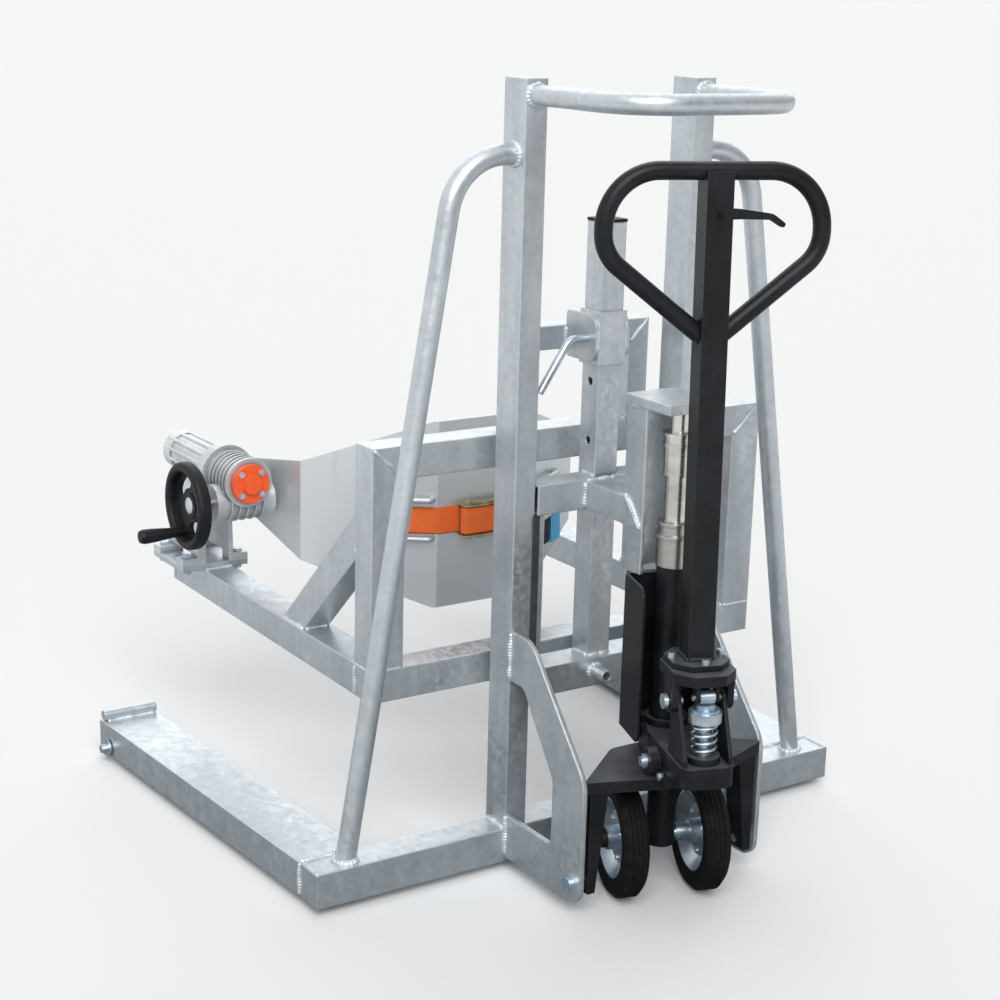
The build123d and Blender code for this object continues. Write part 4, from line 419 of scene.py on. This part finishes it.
def dieCastAluminium(name, look):
    material, tree, shader, place = newMaterial(name)
    shade = noise(tree, place, *look["cloud"])
    metal = mixed(tree, ranged(tree, shade, *look["shaded"]), look["shade"], look["metal"])
    grain = noise(tree, place, *look["grain"])
    # painted shade: ambient occlusion darkens the colour in recesses, joined with the dirt spots from the
    # grain
    occludedShade = addNode(tree, "ShaderNodeAmbientOcclusion",
                     {"Distance": look["recessShadeMm"] / 1000, "samples": look["recessShadeSamples"]})
    recessShade = ranged(tree, occludedShade.outputs["AO"], *look["recessShade"])
    grimyAndShaded = calculated(tree, "MAXIMUM", ranged(tree, grain, *look["grimyAndShaded"]), recessShade)
    soft = softEdge(tree, look["edgeMm"])
    dirtyAndShaded = mixed(tree, grimyAndShaded, metal, look["grimeAndShade"])
    dress(tree, shader, {
        "Base Color": mixed(tree, edgeWear(tree, soft, *look["wear"]), dirtyAndShaded, look["edge"]),
        "Roughness": spread(tree, shade, *look["roughness"]),
        "Normal": bumped(tree, grain, *look["bump"], soft),
        "Metallic": look["metallic"],
    })
    return material


# Sprayed enamel: paint flowed over metal, so an even colour with a soft orange peel, faint stains and a gloss
orangeEnamel = {
    "paint": "#f7632c", "deep": "#f05a26", "stain": "#d9501f", "edge": "#ff8a55", "metallic": 0.0,
    "flow": (1000 / 26, 5.0, 0.6), "streak": ((1500 / 26, 1500 / 26, 300 / 26), (0, 0, 0), 6.0, 0.7),
    "streaked": (0.60, 0.80, 0.0, 0.5), "edgeMm": 1.5, "wear": (0.85, 0.5), "peel": (1000 / 3.5, 1.0, 0.5),
    "roughness": (0.28, 0.06, 0.16), "bump": (0.07, 0.4), "coat": 0.4, "coatRoughness": 0.15,
}
# silver enamel carries aluminium flakes, so it darkens and lightens with the way it faces
silverEnamel = dict(
    orangeEnamel, paint="#e0e3e6", deep="#d7dbde", stain="#a9aca9", edge="#dde0e2", metallic=0.65,
    flow=(1000 / 130, 5.0, 0.6), streak=((1500 / 130, 1500 / 130, 300 / 130), (0, 0, 0), 6.0, 0.7),
    peel=(1000 / 4, 1.0, 0.5), roughness=(0.42, 0.06, 0.16), coat=0.1)


def sprayedEnamel(name, look):
    material, tree, shader, place = newMaterial(name)
    paint = mixed(tree, noise(tree, place, *look["flow"]), look["deep"], look["paint"])
    streak = drawnNoise(tree, place, *look["streak"])
    stained = mixed(tree, ranged(tree, streak, *look["streaked"]), paint, look["stain"])
    soft = softEdge(tree, look["edgeMm"])
    peel = noise(tree, place, *look["peel"])
    dress(tree, shader, {
        "Base Color": mixed(tree, edgeWear(tree, soft, *look["wear"]), stained, look["edge"]),
        "Roughness": spread(tree, streak, *look["roughness"]),
        "Normal": bumped(tree, peel, *look["bump"], soft),
        "Metallic": look["metallic"], "Coat Weight": look["coat"], "Coat Roughness": look["coatRoughness"],
    })
    return material


# Moulded plastic and rubber: pressed in a textured tool, so one body colour with a fine leathery grain and
# paler dust
blackPlastic = {
    "body": "#121417", "dust": "#24272c", "cloud": (1000 / 40, 7.0, 0.72), "dusty": (0.46, 0.74),
    "edgeMm": 1.5, "wear": (0.85, 0.5), "grainMm": 1.4, "roughness": (0.44, 0.06, 0.18), "bump": (0.18, 0.4),
    "gleam": 0.28,
}
greyPlastic = dict(blackPlastic, body="#33363a", dust="#4a4d51")
paleNylon = dict(blackPlastic, body="#d8d5ca", dust="#a5a297", cloud=(1000 / 22, 7.0, 0.72), grainMm=2.0,
                 roughness=(0.45, 0.06, 0.18), bump=(0.12, 0.4), gleam=0.5)
tyreRubber = dict(blackPlastic, body="#121213", dust="#262626", cloud=(1000 / 28, 7.0, 0.72), grainMm=2.4,
                  roughness=(0.66, 0.06, 0.18), bump=(0.35, 0.4), gleam=0.12)


def mouldedPolymer(name, look):
    material, tree, shader, place = newMaterial(name)
    dust = noise(tree, place, *look["cloud"])
    soft = softEdge(tree, look["edgeMm"])
    dusty = ranged(tree, dust, *look["dusty"])
    rubbed = calculated(tree, "MAXIMUM", dusty, edgeWear(tree, soft, *look["wear"]))
    grain = addNode(tree, "ShaderNodeTexVoronoi", {"Scale": 1000 / look["grainMm"], "feature": "SMOOTH_F1"},
                    {"Vector": place})
    dress(tree, shader, {
        "Base Color": mixed(tree, rubbed, look["body"], look["dust"]),
        "Roughness": spread(tree, dust, *look["roughness"]),
        "Normal": bumped(tree, grain.outputs["Distance"], *look["bump"], soft),
        "Specular IOR Level": look["gleam"],
    })
    return material


# Woven polyester webbing: twisted yarns beaten into a flat band, so ribs along it, short floats across it and
# dirt; real yarns are about 1 mm apart, and the ribs are drawn at ribMm so that they show
orangeWebbing = {
    "yarn": "#ff7d38", "deep": "#ff6c2a", "dirt": "#e07038", "ribMm": 3.2, "floatMm": 2.6, "floatShare": 0.45,
    "raised": (-1.3, 0.9), "soil": (60.0, 7.0, 0.75), "soiled": (0.56, 0.80, 0.0, 0.55),
    "roughness": (0.78, 0.08, 0.12), "bump": (0.5, 0.4), "sheen": 0.9, "sheenRoughness": 0.5,
}
blackWebbing = dict(orangeWebbing, yarn="#26272a", deep="#121314", dirt="#3c3c3d",
                    roughness=(0.8, 0.08, 0.12), sheen=0.1)
blueTagCloth = dict(orangeWebbing, yarn="#60ceff", deep="#45b6f4", dirt="#8ad6fa", ribMm=2.2, floatMm=2.2,
                    roughness=(0.6, 0.08, 0.12), sheen=0.1)


# the mesh attribute weave holds metres along the band and metres across it
def wovenWebbing(name, look):
    material, tree, shader, place = newMaterial(name)
    weave = addNode(tree, "ShaderNodeAttribute", {"attribute_name": "weave"}).outputs["Vector"]
    run = addNode(tree, "ShaderNodeSeparateXYZ", None, {"Vector": weave}).outputs
    ribPhase = scaled(tree, run["Y"], 2000 * math.pi / look["ribMm"])
    rib = addNode(tree, "ShaderNodeMath", {"operation": "COSINE"}, {0: ribPhase}).outputs["Value"]
    floatPhase = scaled(tree, run["X"], 2000 * math.pi / look["floatMm"])
    shifted = calculated(tree, "ADD", floatPhase, ribPhase)
    strand = addNode(tree, "ShaderNodeMath", {"operation": "SINE"}, {0: shifted})
    height = addNode(tree, "ShaderNodeMath", {"operation": "MULTIPLY_ADD", 1: look["floatShare"]},
                     {0: strand.outputs["Value"], 2: rib}).outputs["Value"]
    yarn = mixed(tree, ranged(tree, height, *look["raised"]), look["deep"], look["yarn"])
    soil = noise(tree, place, *look["soil"])
    dress(tree, shader, {
        "Base Color": mixed(tree, ranged(tree, soil, *look["soiled"]), yarn, look["dirt"]),
        "Roughness": spread(tree, soil, *look["roughness"]),
        "Normal": bumped(tree, height, *look["bump"]),
        "Sheen Weight": look["sheen"], "Sheen Roughness": look["sheenRoughness"],
        "Sheen Tint": linear(look["yarn"]),
    })
    return material


finishes = {
    "galvanised_steel": hotDipGalvanisedSteel("hotDipGalvanisedSteel", galvanised),
    "black_powder_coat": blackPowderCoat("blackPowderCoatedSteel", powder),
    "zinc_steel": platedSteel("clearZincPlatedSteel", clearZinc),
    "yellow_zinc": platedSteel("yellowPassivatedZincSteel", yellowZinc),
    "bright_steel": groundChromeRod("groundChromeRod", chrome),
    "cast_aluminium": dieCastAluminium("dieCastAluminium", casting),
    "orange_paint": sprayedEnamel("orangeSprayedEnamel", orangeEnamel),
    "grey_paint": sprayedEnamel("silverSprayedEnamel", silverEnamel),
    "black_plastic": mouldedPolymer("blackMouldedPlastic", blackPlastic),
    "nylon": mouldedPolymer("paleMouldedNylon", paleNylon),
    "tyre_rubber": mouldedPolymer("mouldedTyreRubber", tyreRubber),
    "orange_webbing": wovenWebbing("orangeWovenWebbing", orangeWebbing),
}
ownFinish = {
    "lift_cylinder": blackPowderCoat("powderCoatedCylinderWithSteelHead", powderCylinder),
    "wheel_axle": platedSteel("zincPlatedAxleWithRustedCaps", axleZinc),
    "tiller_bolts": platedSteel("zincPlatedScrewsWithBlackPin", tillerZinc),
    "strap_rails": finishes["galvanised_steel"],
    "slide_shoes": mouldedPolymer("greyMouldedPlastic", greyPlastic),
    "gear_bolts": platedSteel("paleZincPlatedScrews", dict(clearZinc, metallic=0.45)),
}
for part in frame["record"]["subparts"]:
    mesh = nodes[part["node"]].data
    mesh.materials.clear()
    mesh.materials.append(ownFinish.get(part["node"], finishes[part["material_slot"]]))


# rings of points, all with the same count, joined into one closed skin; rings run anticlockwise about the way
# they follow, so faces look outwards; an open skin gets a flat cap at each end
def skinFaces(rings, around, closed, start):
    row = np.arange(rings if closed else rings - 1)[:, None]
    column = np.arange(around)[None, :]
    nextRow, nextColumn = (row + 1) % rings, (column + 1) % around
    corners = [row * around + column, row * around + nextColumn,
               nextRow * around + nextColumn, nextRow * around + column]
    faces = (np.stack(np.broadcast_arrays(*corners), -1).reshape(-1, 4) + start).tolist()
    if not closed:
        faces.append((np.arange(around)[::-1] + start).tolist())
        faces.append((np.arange(around) + (rings - 1) * around + start).tolist())
    return faces


def addPiece(name, points, faces, material, weave=None):
    mesh = bpy.data.meshes.new(name)
    mesh.from_pydata(points.reshape(-1, 3).tolist(), [], faces)
    mesh.polygons.foreach_set("use_smooth", np.ones(len(mesh.polygons), dtype=bool))
    if weave is not None:
        attribute = mesh.attributes.new("weave", "FLOAT_VECTOR", "POINT")
        attribute.data.foreach_set("vector", weave.astype(np.float32).ravel())
    mesh.materials.append(material)
    piece = bpy.data.objects.new(name, mesh)
    bpy.context.scene.collection.objects.link(piece)
    return piece


# Weld seams, in millimetres: straight ones as (start, end, radius), round ones as (centre, axis, circle,
# radius); side is a way that no seam runs along, and shift sets each bead's ripples off from the last one's;
# a slow wave is its share of the radius, its millimetres to a radian and how many times it takes the shift
seams = {
    "ripple": 5.0, "sides": 10, "swell": 1.5, "rowsPerRipple": 4, "side": (0.31, 0.52, 0.79), "shift": 0.7,
    "valley": 0.80, "ridge": 0.30, "thickWave": (0.16, 9, 2), "thinWave": (0.10, 3.7, 1),
    "wander": (0.16, 6.3, 3), "endShare": 0.05,
    "groundFrame": {
        "body": "ground_frame", "mirror": True,
        "straight": [
            ((146, -681, 75), (146, -627, 75), 3.6), ((186, -681, 75), (186, -627, 75), 3.6),
            ((148, -684, 75), (184, -684, 75), 2.4), ((148, -624, 75), (184, -624, 75), 2.4),
            ((438, -624, 75), (544, -624, 75), 2.6), ((436, -624, 18), (436, -624, 73), 3.6),
            ((545.5, -624, 18), (545.5, -624, 74), 2.6), ((541, -682, 75), (541, -626, 75), 1.8),
            ((186, -684.5, 346), (186, -684.5, 426), 3.0), ((178, -684.5, 346), (178, -684.5, 426), 3.4),
            ((186, -684.5, 28), (186, -684.5, 99), 3.2), ((178, -684.5, 28), (178, -684.5, 99), 3.4),
            ((488, 98, 76), (584, 98, 76), 2.8),
        ],
        "round": [((186.3, -654, 1203), (1, 0, 0), 17.2, 3.4), ((477, -654, 75.3), (0, 0, 1), 17.4, 3.6),
                  ((166, -684.3, 1295), (0, 1, 0), 16.4, 3.2)],
    },
    "carriage": {
        "body": "carriage", "mirror": True,
        "straight": [
            ((0, -676.5, 355), (22, -676.5, 355), 3.2), ((0, -631.5, 355), (22, -631.5, 355), 3.2),
            ((22.5, -675, 355), (22.5, -633, 355), 3.2), ((22.6, -675, 672), (22.6, -641, 672), 3.0),
            ((22.6, -675, 622), (22.6, -641, 622), 3.0), ((23.2, -677, 624), (23.2, -677, 670), 4.2),
            ((0, -690, 670), (48, -690, 670), 3.0), ((50.2, -690, 626), (50.2, -690, 668), 3.2),
            ((0, -790, 670), (43, -790, 670), 3.0), ((45.5, -801, 669), (45.5, -836, 626), 2.6),
            ((45.5, -792, 670), (45.5, -800, 670), 2.6), ((45.5, -792, 624), (45.5, -836, 624), 2.6),
            ((0, -790, 624), (40, -790, 624), 3.0), ((45, -838, 821.5), (45, -792, 821.5), 2.8),
            ((0, -790, 821.5), (43, -790, 821.5), 2.4), ((125.6, -682, 355.3), (125.6, -626, 355.3), 3.0),
            ((125.6, -682, 621.8), (125.6, -642, 621.8), 3.0),
        ],
        "round": [],
    },
    "stub": {
        "body": "carriage", "mirror": False, "straight": [],
        "round": [((-16, -690.4, 332), (0, 1, 0), 11.2, 2.8)],
    },
    "tiltFrame": {
        "body": "tilt_frame", "mirror": True,
        "straight": [
            ((398, -596, 739), (342, -596, 688), 2.3), ((342, -596, 365), (398, -596, 365), 1.8),
            ((340, -594, 365), (340, -543, 365), 2.4), ((400, -594, 365), (400, -543, 365), 2.0),
            ((398, -541, 739), (342, -541, 688), 2.3),
            ((342, -541, 365), (398, -541, 365), 3.0), ((340, -541, 313), (340, -541, 362), 3.0),
            ((400, -541, 313), (400, -541, 362), 2.2), ((342, -541, 310), (398, -541, 310), 2.4),
            ((347, -541, 628), (393, -541, 628), 3.2), ((347, -541, 550), (393, -541, 550), 3.0),
            ((345, -541, 553), (345, -541, 626), 3.0), ((395, -541, 553), (395, -541, 626), 3.0),
            ((347, -270, 365), (393, -270, 365), 3.2), ((347, -348, 365), (393, -348, 365), 3.0),
            ((345, -346, 365), (345, -272, 365), 3.0), ((395, -346, 365), (395, -272, 365), 3.0),
            ((99, -594, 741), (99, -558, 741), 3.0), ((139, -594, 741), (139, -558, 741), 3.0),
            ((101, -596, 741), (137, -596, 741), 2.2), ((101, -556, 741), (137, -556, 741), 2.8),
            ((137, -596, 913), (101, -596, 877), 2.2), ((137, -556, 913), (101, -556, 877), 2.2),
            ((33.7, -596, 877), (33.7, -596, 913), 2.8), ((28, -681, 884), (28, -681, 930), 1.8),
            ((342, 194, 312), (398, 194, 312), 1.6), ((342, 190, 365), (398, 190, 365), 1.8),
            ((340, 190, 312), (340, 190, 363), 1.8), ((400, 190, 312), (400, 190, 363), 1.8),
            ((342, 50, 365.2), (398, 50, 365.2), 2.8), ((342, 186, 365.2), (398, 186, 365.2), 2.2),
            ((400, 53, 365), (400, 183, 365), 2.8), ((340, 53, 365), (340, 183, 365), 2.8),
        ],
        "round": [],
    },
    "bearingStand": {
        "body": "tilt_frame", "mirror": False,
        "straight": [((363, 67, 377), (363, 169, 377), 3.2), ((383, 67, 377), (383, 169, 377), 3.2)],
        "round": [],
    },
    "bridgeBars": {
        "body": "ground_frame", "mirror": True, "black": True,
        "straight": [((136, -901, 220), (136, -867, 220), 3.6), ((138, -864, 220), (168, -864, 220), 3.2)],
        "round": [],
    },
    "tillerFoot": {
        "body": "tiller", "mirror": False, "black": True,
        "straight": [
            ((-65.7, -999.1, 455.3), (-25.3, -1012.7, 455.3), 2.6),
            ((-52.2, -958.7, 455.3), (-11.8, -972.3, 455.3), 2.6),
            ((-65.7, -999.1, 455.3), (-52.2, -958.7, 455.3), 2.6),
            ((-25.3, -1012.7, 455.3), (-11.8, -972.3, 455.3), 2.6),
        ],
        "round": [],
    },
}


def slowWave(gone, wave, turnOn):
    share, length, follow = wave
    return share * np.sin(gone / length + follow * turnOn)


# a bead: a circle carried along the seam, its radius swelling once a ripple and closing at both ends,
# its centre wandering slightly from side to side
def weldBead(path, side, radius, closed, ripple, look, turnOn):
    way = np.roll(path, -1, axis=0) - np.roll(path, 1, axis=0) if closed else np.gradient(path, axis=0)
    way /= np.linalg.norm(way, axis=1, keepdims=True)
    out = np.cross(way, side)
    out /= np.linalg.norm(out, axis=1, keepdims=True)
    other = np.cross(way, out)
    step = np.linalg.norm(path[1] - path[0])
    gone = np.arange(len(path)) * step
    size = radius * (look["valley"] + look["ridge"] * np.abs(np.sin(np.pi * gone / ripple + turnOn)))
    size *= 1 + slowWave(gone, look["thickWave"], turnOn) + slowWave(gone, look["thinWave"], turnOn)
    if not closed:
        left = np.minimum(gone, gone[-1] - gone)
        size *= np.sqrt(np.clip(1 - (1 - np.minimum(left / radius, 1)) ** 2, look["endShare"], 1))
    centre = path + radius * slowWave(gone, look["wander"], turnOn)[:, None] * out
    angle = np.arange(look["sides"]) * 2 * np.pi / look["sides"]
    ring = np.cos(angle)[None, :, None] * out[:, None] + np.sin(angle)[None, :, None] * other[:, None]
    return centre[:, None] + size[:, None, None] * ring


def addSeams(name, group, look):
    ripple, sides, perRipple = look["ripple"], look["sides"], look["rowsPerRipple"]
    flips = [np.array([1.0, 1, 1]), np.array([-1.0, 1, 1])] if group["mirror"] else [np.array([1.0, 1, 1])]
    points, faces, count = [], [], 0
    for flip in flips:
        for start, end, radius in group["straight"]:
            start, end = np.array(start, float) * flip, np.array(end, float) * flip
            rows = max(2 * perRipple, int(np.linalg.norm(end - start) / ripple * perRipple))
            path = start + np.linspace(0, 1, rows)[:, None] * (end - start)
            shift = look["shift"] * len(points)
            bead = weldBead(path, np.array(look["side"]), look["swell"] * radius, False, ripple, look, shift)
            faces += skinFaces(rows, sides, False, count)
            points.append(bead.reshape(-1, 3))
            count += rows * sides
        for centre, axis, circle, radius in group["round"]:
            axis = np.array(axis, float)
            first = np.roll(axis, 1)
            second = np.cross(axis, first)
            ripples = int(2 * np.pi * circle / ripple)
            rows = ripples * perRipple
            angle = np.arange(rows)[:, None] * 2 * np.pi / rows
            path = np.array(centre, float) * flip + circle * (np.cos(angle) * first + np.sin(angle) * second)
            shift = look["shift"] * len(points)
            wave = 2 * np.pi * circle / ripples
            bead = weldBead(path, axis, look["swell"] * radius, True, wave, look, shift)
            faces += skinFaces(rows, sides, True, count)
            points.append(bead.reshape(-1, 3))
            count += rows * sides
    black = group.get("black", False)
    material = finishes["black_powder_coat"] if black else seamFinish
    piece = addPiece(name, np.concatenate(points) / 1000, faces, material)
    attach(piece, group["body"])
    return piece


seamFinish = hotDipGalvanisedSteel("galvanisedWeldSeam", galvanisedSeam)
for seamName, seamGroup in seams.items():
    if isinstance(seamGroup, dict):
        addSeams(seamName + "Seams", seamGroup, seams)
print("weld seams laid")

# Lashing strap round the cradle, in millimetres: the band lies on the cradle's back, the roll on the spool of
# the ratchet; the band is bent at the back's two edges; rise and stand are (height, length) of its slow waves
strap = {"level": 510, "width": 50, "thick": 2.4, "radius": 302.65, "rearHalf": 17.8, "facet": 35.6,
         "end": 5, "shell": 301, "rollThick": 2.2, "rollLeft": -46, "rollRight": 4,
         "rollY": -319.7, "rollInner": 7.6, "rollOuter": 11.3, "rollTurns": 1.6, "rollSteps": 220,
         "rollStart": 2.6, "rollSquare": 6, "step": 2.0, "rise": (0.5, 37), "stand": (0.25, 21)}
bandPoints = 15  # across each face of a band


# a flat band's section: its thickness runs out at both edges as the square root of 1 - v^10
def bandProfile(width, thick, count):
    v = np.linspace(1, -1, count)
    rise = thick / 2 * np.sqrt(1 - v ** 10)
    face = np.stack([v * width / 2, rise], -1)
    back = np.stack([v[-2:0:-1] * width / 2, -rise[-2:0:-1]], -1)
    return np.concatenate([face, back])


# the section carried along a path: across and out are the two directions of the section at each path point
def carriedBand(path, across, out, profile):
    points = path[:, None] + profile[None, :, :1] * across[:, None]
    points = points + profile[None, :, 1:] * out[:, None]
    gone = np.concatenate([[0], np.cumsum(np.linalg.norm(np.diff(path, axis=0), axis=1))])
    weave = np.zeros(points.shape)
    weave[:, :, 0] = gone[:, None]
    weave[:, :, 1] = profile[None, :, 0]
    return points, weave / 1000, gone[-1] / 1000


def addBand(name, path, across, out, size, material, body):
    profile = bandProfile(size[0], size[1], bandPoints)
    points, weave, length = carriedBand(path, across, out, profile)
    faces = skinFaces(len(path), len(profile), False, 0)
    piece = addPiece(name, points / 1000, faces, material, weave.reshape(-1, 3))
    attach(piece, body)
    return piece


# band path: straight along the left flat, the back and the right flat, its corners softened by a short mean
def bandPath(look):
    facet, rear = math.radians(look["facet"]), math.radians(look["rearHalf"])
    r, e = look["radius"], look["end"]
    right = [r * math.tan(rear), -r]
    tip = [r * math.sin(facet) + e * math.cos(facet), -r * math.cos(facet) + e * math.sin(facet)]
    corners = np.array([[-tip[0], tip[1]], [-right[0], right[1]], right, tip])
    gone = np.concatenate([[0], np.cumsum(np.linalg.norm(np.diff(corners, axis=0), axis=1))])
    s = np.arange(0, gone[-1] + 0.01, look["step"])
    line = np.stack([np.interp(s, gone, corners[:, 0]), np.interp(s, gone, corners[:, 1])], -1)
    line[2:-2] = (line[:-4] + line[1:-3] + line[2:-2] + line[3:-1] + line[4:]) / 5
    way = np.gradient(line, axis=0)
    way /= np.linalg.norm(way, axis=1, keepdims=True)
    out = np.stack([way[:, 1], -way[:, 0], np.zeros(len(s))], -1)
    (high, long), (off, between) = look["rise"], look["stand"]
    level = look["level"] + high * np.sin(s / long)
    line += off * (1 + np.sin(s / between))[:, None] * out[:, :2]
    return np.column_stack([line, level]), out


# roll path: a spiral drawn out into an oval, x = middle + half length tanh(square cos) + radius cos
def rollPath(look):
    turn = np.linspace(0, 2 * np.pi * look["rollTurns"], look["rollSteps"]) + look["rollStart"]
    radius = np.linspace(look["rollInner"], look["rollOuter"], len(turn))
    half = (look["rollRight"] - look["rollLeft"]) / 2
    x = look["rollLeft"] + half + half * np.tanh(look["rollSquare"] * np.cos(turn)) + radius * np.cos(turn)
    y = look["rollY"] + radius * np.sin(turn)
    line = np.column_stack([x, y, np.full(len(turn), look["level"])])
    way = np.gradient(line, axis=0)
    way /= np.linalg.norm(way, axis=1, keepdims=True)
    return line, np.stack([way[:, 1], -way[:, 0], np.zeros(len(turn))], -1)


upward = np.array([0.0, 0.0, 1.0])
line, out = bandPath(strap)
band = addBand("strapBand", line, np.broadcast_to(upward, line.shape), out, (strap["width"], strap["thick"]),
               finishes["orange_webbing"], "cradle")
line, out = rollPath(strap)
rollSize = (strap["width"], strap["rollThick"])
roll = addBand("strapRoll", line, np.broadcast_to(upward, line.shape), out, rollSize,
               finishes["orange_webbing"], "cradle")
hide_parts("strap")
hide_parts("strap")

# Plain strip and plain tag that hang at the strap's right end, in millimetres along the flat from its middle
hanging = {
    "strip": {"along": 15, "width": 38, "thick": 1.8, "top": 486, "bottom": 412, "stand": 1.6, "sway": 1.0,
              "cloth": blackWebbing},
    "tag": {"along": 68, "width": 55, "thick": 1.2, "top": 486, "bottom": 406, "stand": 1.8, "sway": 2.2,
            "cloth": blueTagCloth},
}
hangingSteps = 24


# hanging path: straight down, its lower end standing off by sway times the square of the share that has gone
def hangingPath(look, facetTurn, shellRadius):
    share = np.linspace(0, 1, hangingSteps)
    facet = math.radians(facetTurn)
    outWay = np.array([math.sin(facet), -math.cos(facet), 0])
    sideWay = np.array([math.cos(facet), math.sin(facet), 0])
    root = outWay * (shellRadius + look["stand"]) + sideWay * look["along"]
    level = look["top"] + (look["bottom"] - look["top"]) * share
    line = root + (look["sway"] * share ** 2)[:, None] * outWay + level[:, None] * upward
    return line, np.broadcast_to(sideWay, line.shape), np.broadcast_to(outWay, line.shape)


for hangingName, look in hanging.items():
    line, sideWay, outWay = hangingPath(look, strap["facet"], strap["shell"])
    cloth = wovenWebbing("plain" + hangingName.capitalize() + "Cloth", look["cloth"])
    addBand(hangingName + "Hanging", line, sideWay, outWay, (look["width"], look["thick"]), cloth, "cradle")
print("strap, strip and tag hung")

# Pale cap on the handwheel's hub, in millimetres: a low dome with a rolled rim
hubCap = {"centre": (-474.0, -50.0, 526.0), "radius": 15.5, "rise": 3.2, "fall": 0.75, "wave": 0.3,
          "waves": 3, "tip": 0.02, "steps": 14, "rimShare": 0.9, "rimHeights": (0.2, -0.4), "around": 48}


# a lathe surface about the X axis: radius and height as functions of one parameter, swept through a full turn
def addHubCap(cap):
    share = np.linspace(cap["tip"], 1, cap["steps"])
    radius = np.concatenate([cap["radius"] * share, [cap["radius"], cap["radius"] * cap["rimShare"]]])
    ripple = cap["wave"] * np.sin(2 * np.pi * cap["waves"] * share)
    dome = cap["rise"] * (1 - cap["fall"] * share ** 2) + ripple
    height = np.concatenate([dome, cap["rimHeights"]])
    turn = np.arange(cap["around"]) * 2 * np.pi / cap["around"]
    x = cap["centre"][0] - height[:, None] + 0 * turn[None, :]
    y = cap["centre"][1] + radius[:, None] * np.cos(turn)
    z = cap["centre"][2] - radius[:, None] * np.sin(turn)
    points = np.stack([x, y, z], -1)
    faces = skinFaces(len(radius), len(turn), False, 0)
    piece = addPiece("handwheelHubCap", points / 1000, faces, finishes["cast_aluminium"])
    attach(piece, "crank")


addHubCap(hubCap)
print("hub cap set")

# Return spring of the pump, in millimetres: it stands on the pump body under the piston's cap
pumpSpring = {"axis": (-54.576, -1033.113), "low": 314.8, "high": 364.2, "turns": 4, "coil": 19.5,
              "wire": 2.5, "foot": 312.3, "stroke": 28.36, "rings": 48, "sides": 14}


# a helix: x and y go round the coil circle once a turn while z climbs evenly; a circle of wire follows it
def addSpring(look):
    turn = np.linspace(0, 2 * np.pi * look["turns"], look["turns"] * look["rings"] + 1)
    z = np.linspace(look["low"], look["high"], len(turn))
    outWay = np.column_stack([np.cos(turn), np.sin(turn), 0 * turn])
    middle = np.column_stack([np.full(len(turn), look["axis"][0]), np.full(len(turn), look["axis"][1]), z])
    path = middle + look["coil"] * outWay
    climb = (look["high"] - look["low"]) / (2 * np.pi * look["turns"])
    way = look["coil"] * np.column_stack([-np.sin(turn), np.cos(turn), 0 * turn])
    way[:, 2] = climb
    way /= np.linalg.norm(way, axis=1, keepdims=True)
    other = np.cross(way, outWay)
    angle = np.arange(look["sides"]) * 2 * np.pi / look["sides"]
    ring = np.cos(angle)[None, :, None] * outWay[:, None] + np.sin(angle)[None, :, None] * other[:, None]
    points = path[:, None] + look["wire"] * ring
    faces = skinFaces(len(turn), look["sides"], False, 0)
    piece = addPiece("pumpReturnSpring", points / 1000, faces, finishes["zinc_steel"])
    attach(piece, "steer_unit")
    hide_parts("pump_spring")
    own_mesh(piece)


addSpring(pumpSpring)
print("pump spring set")
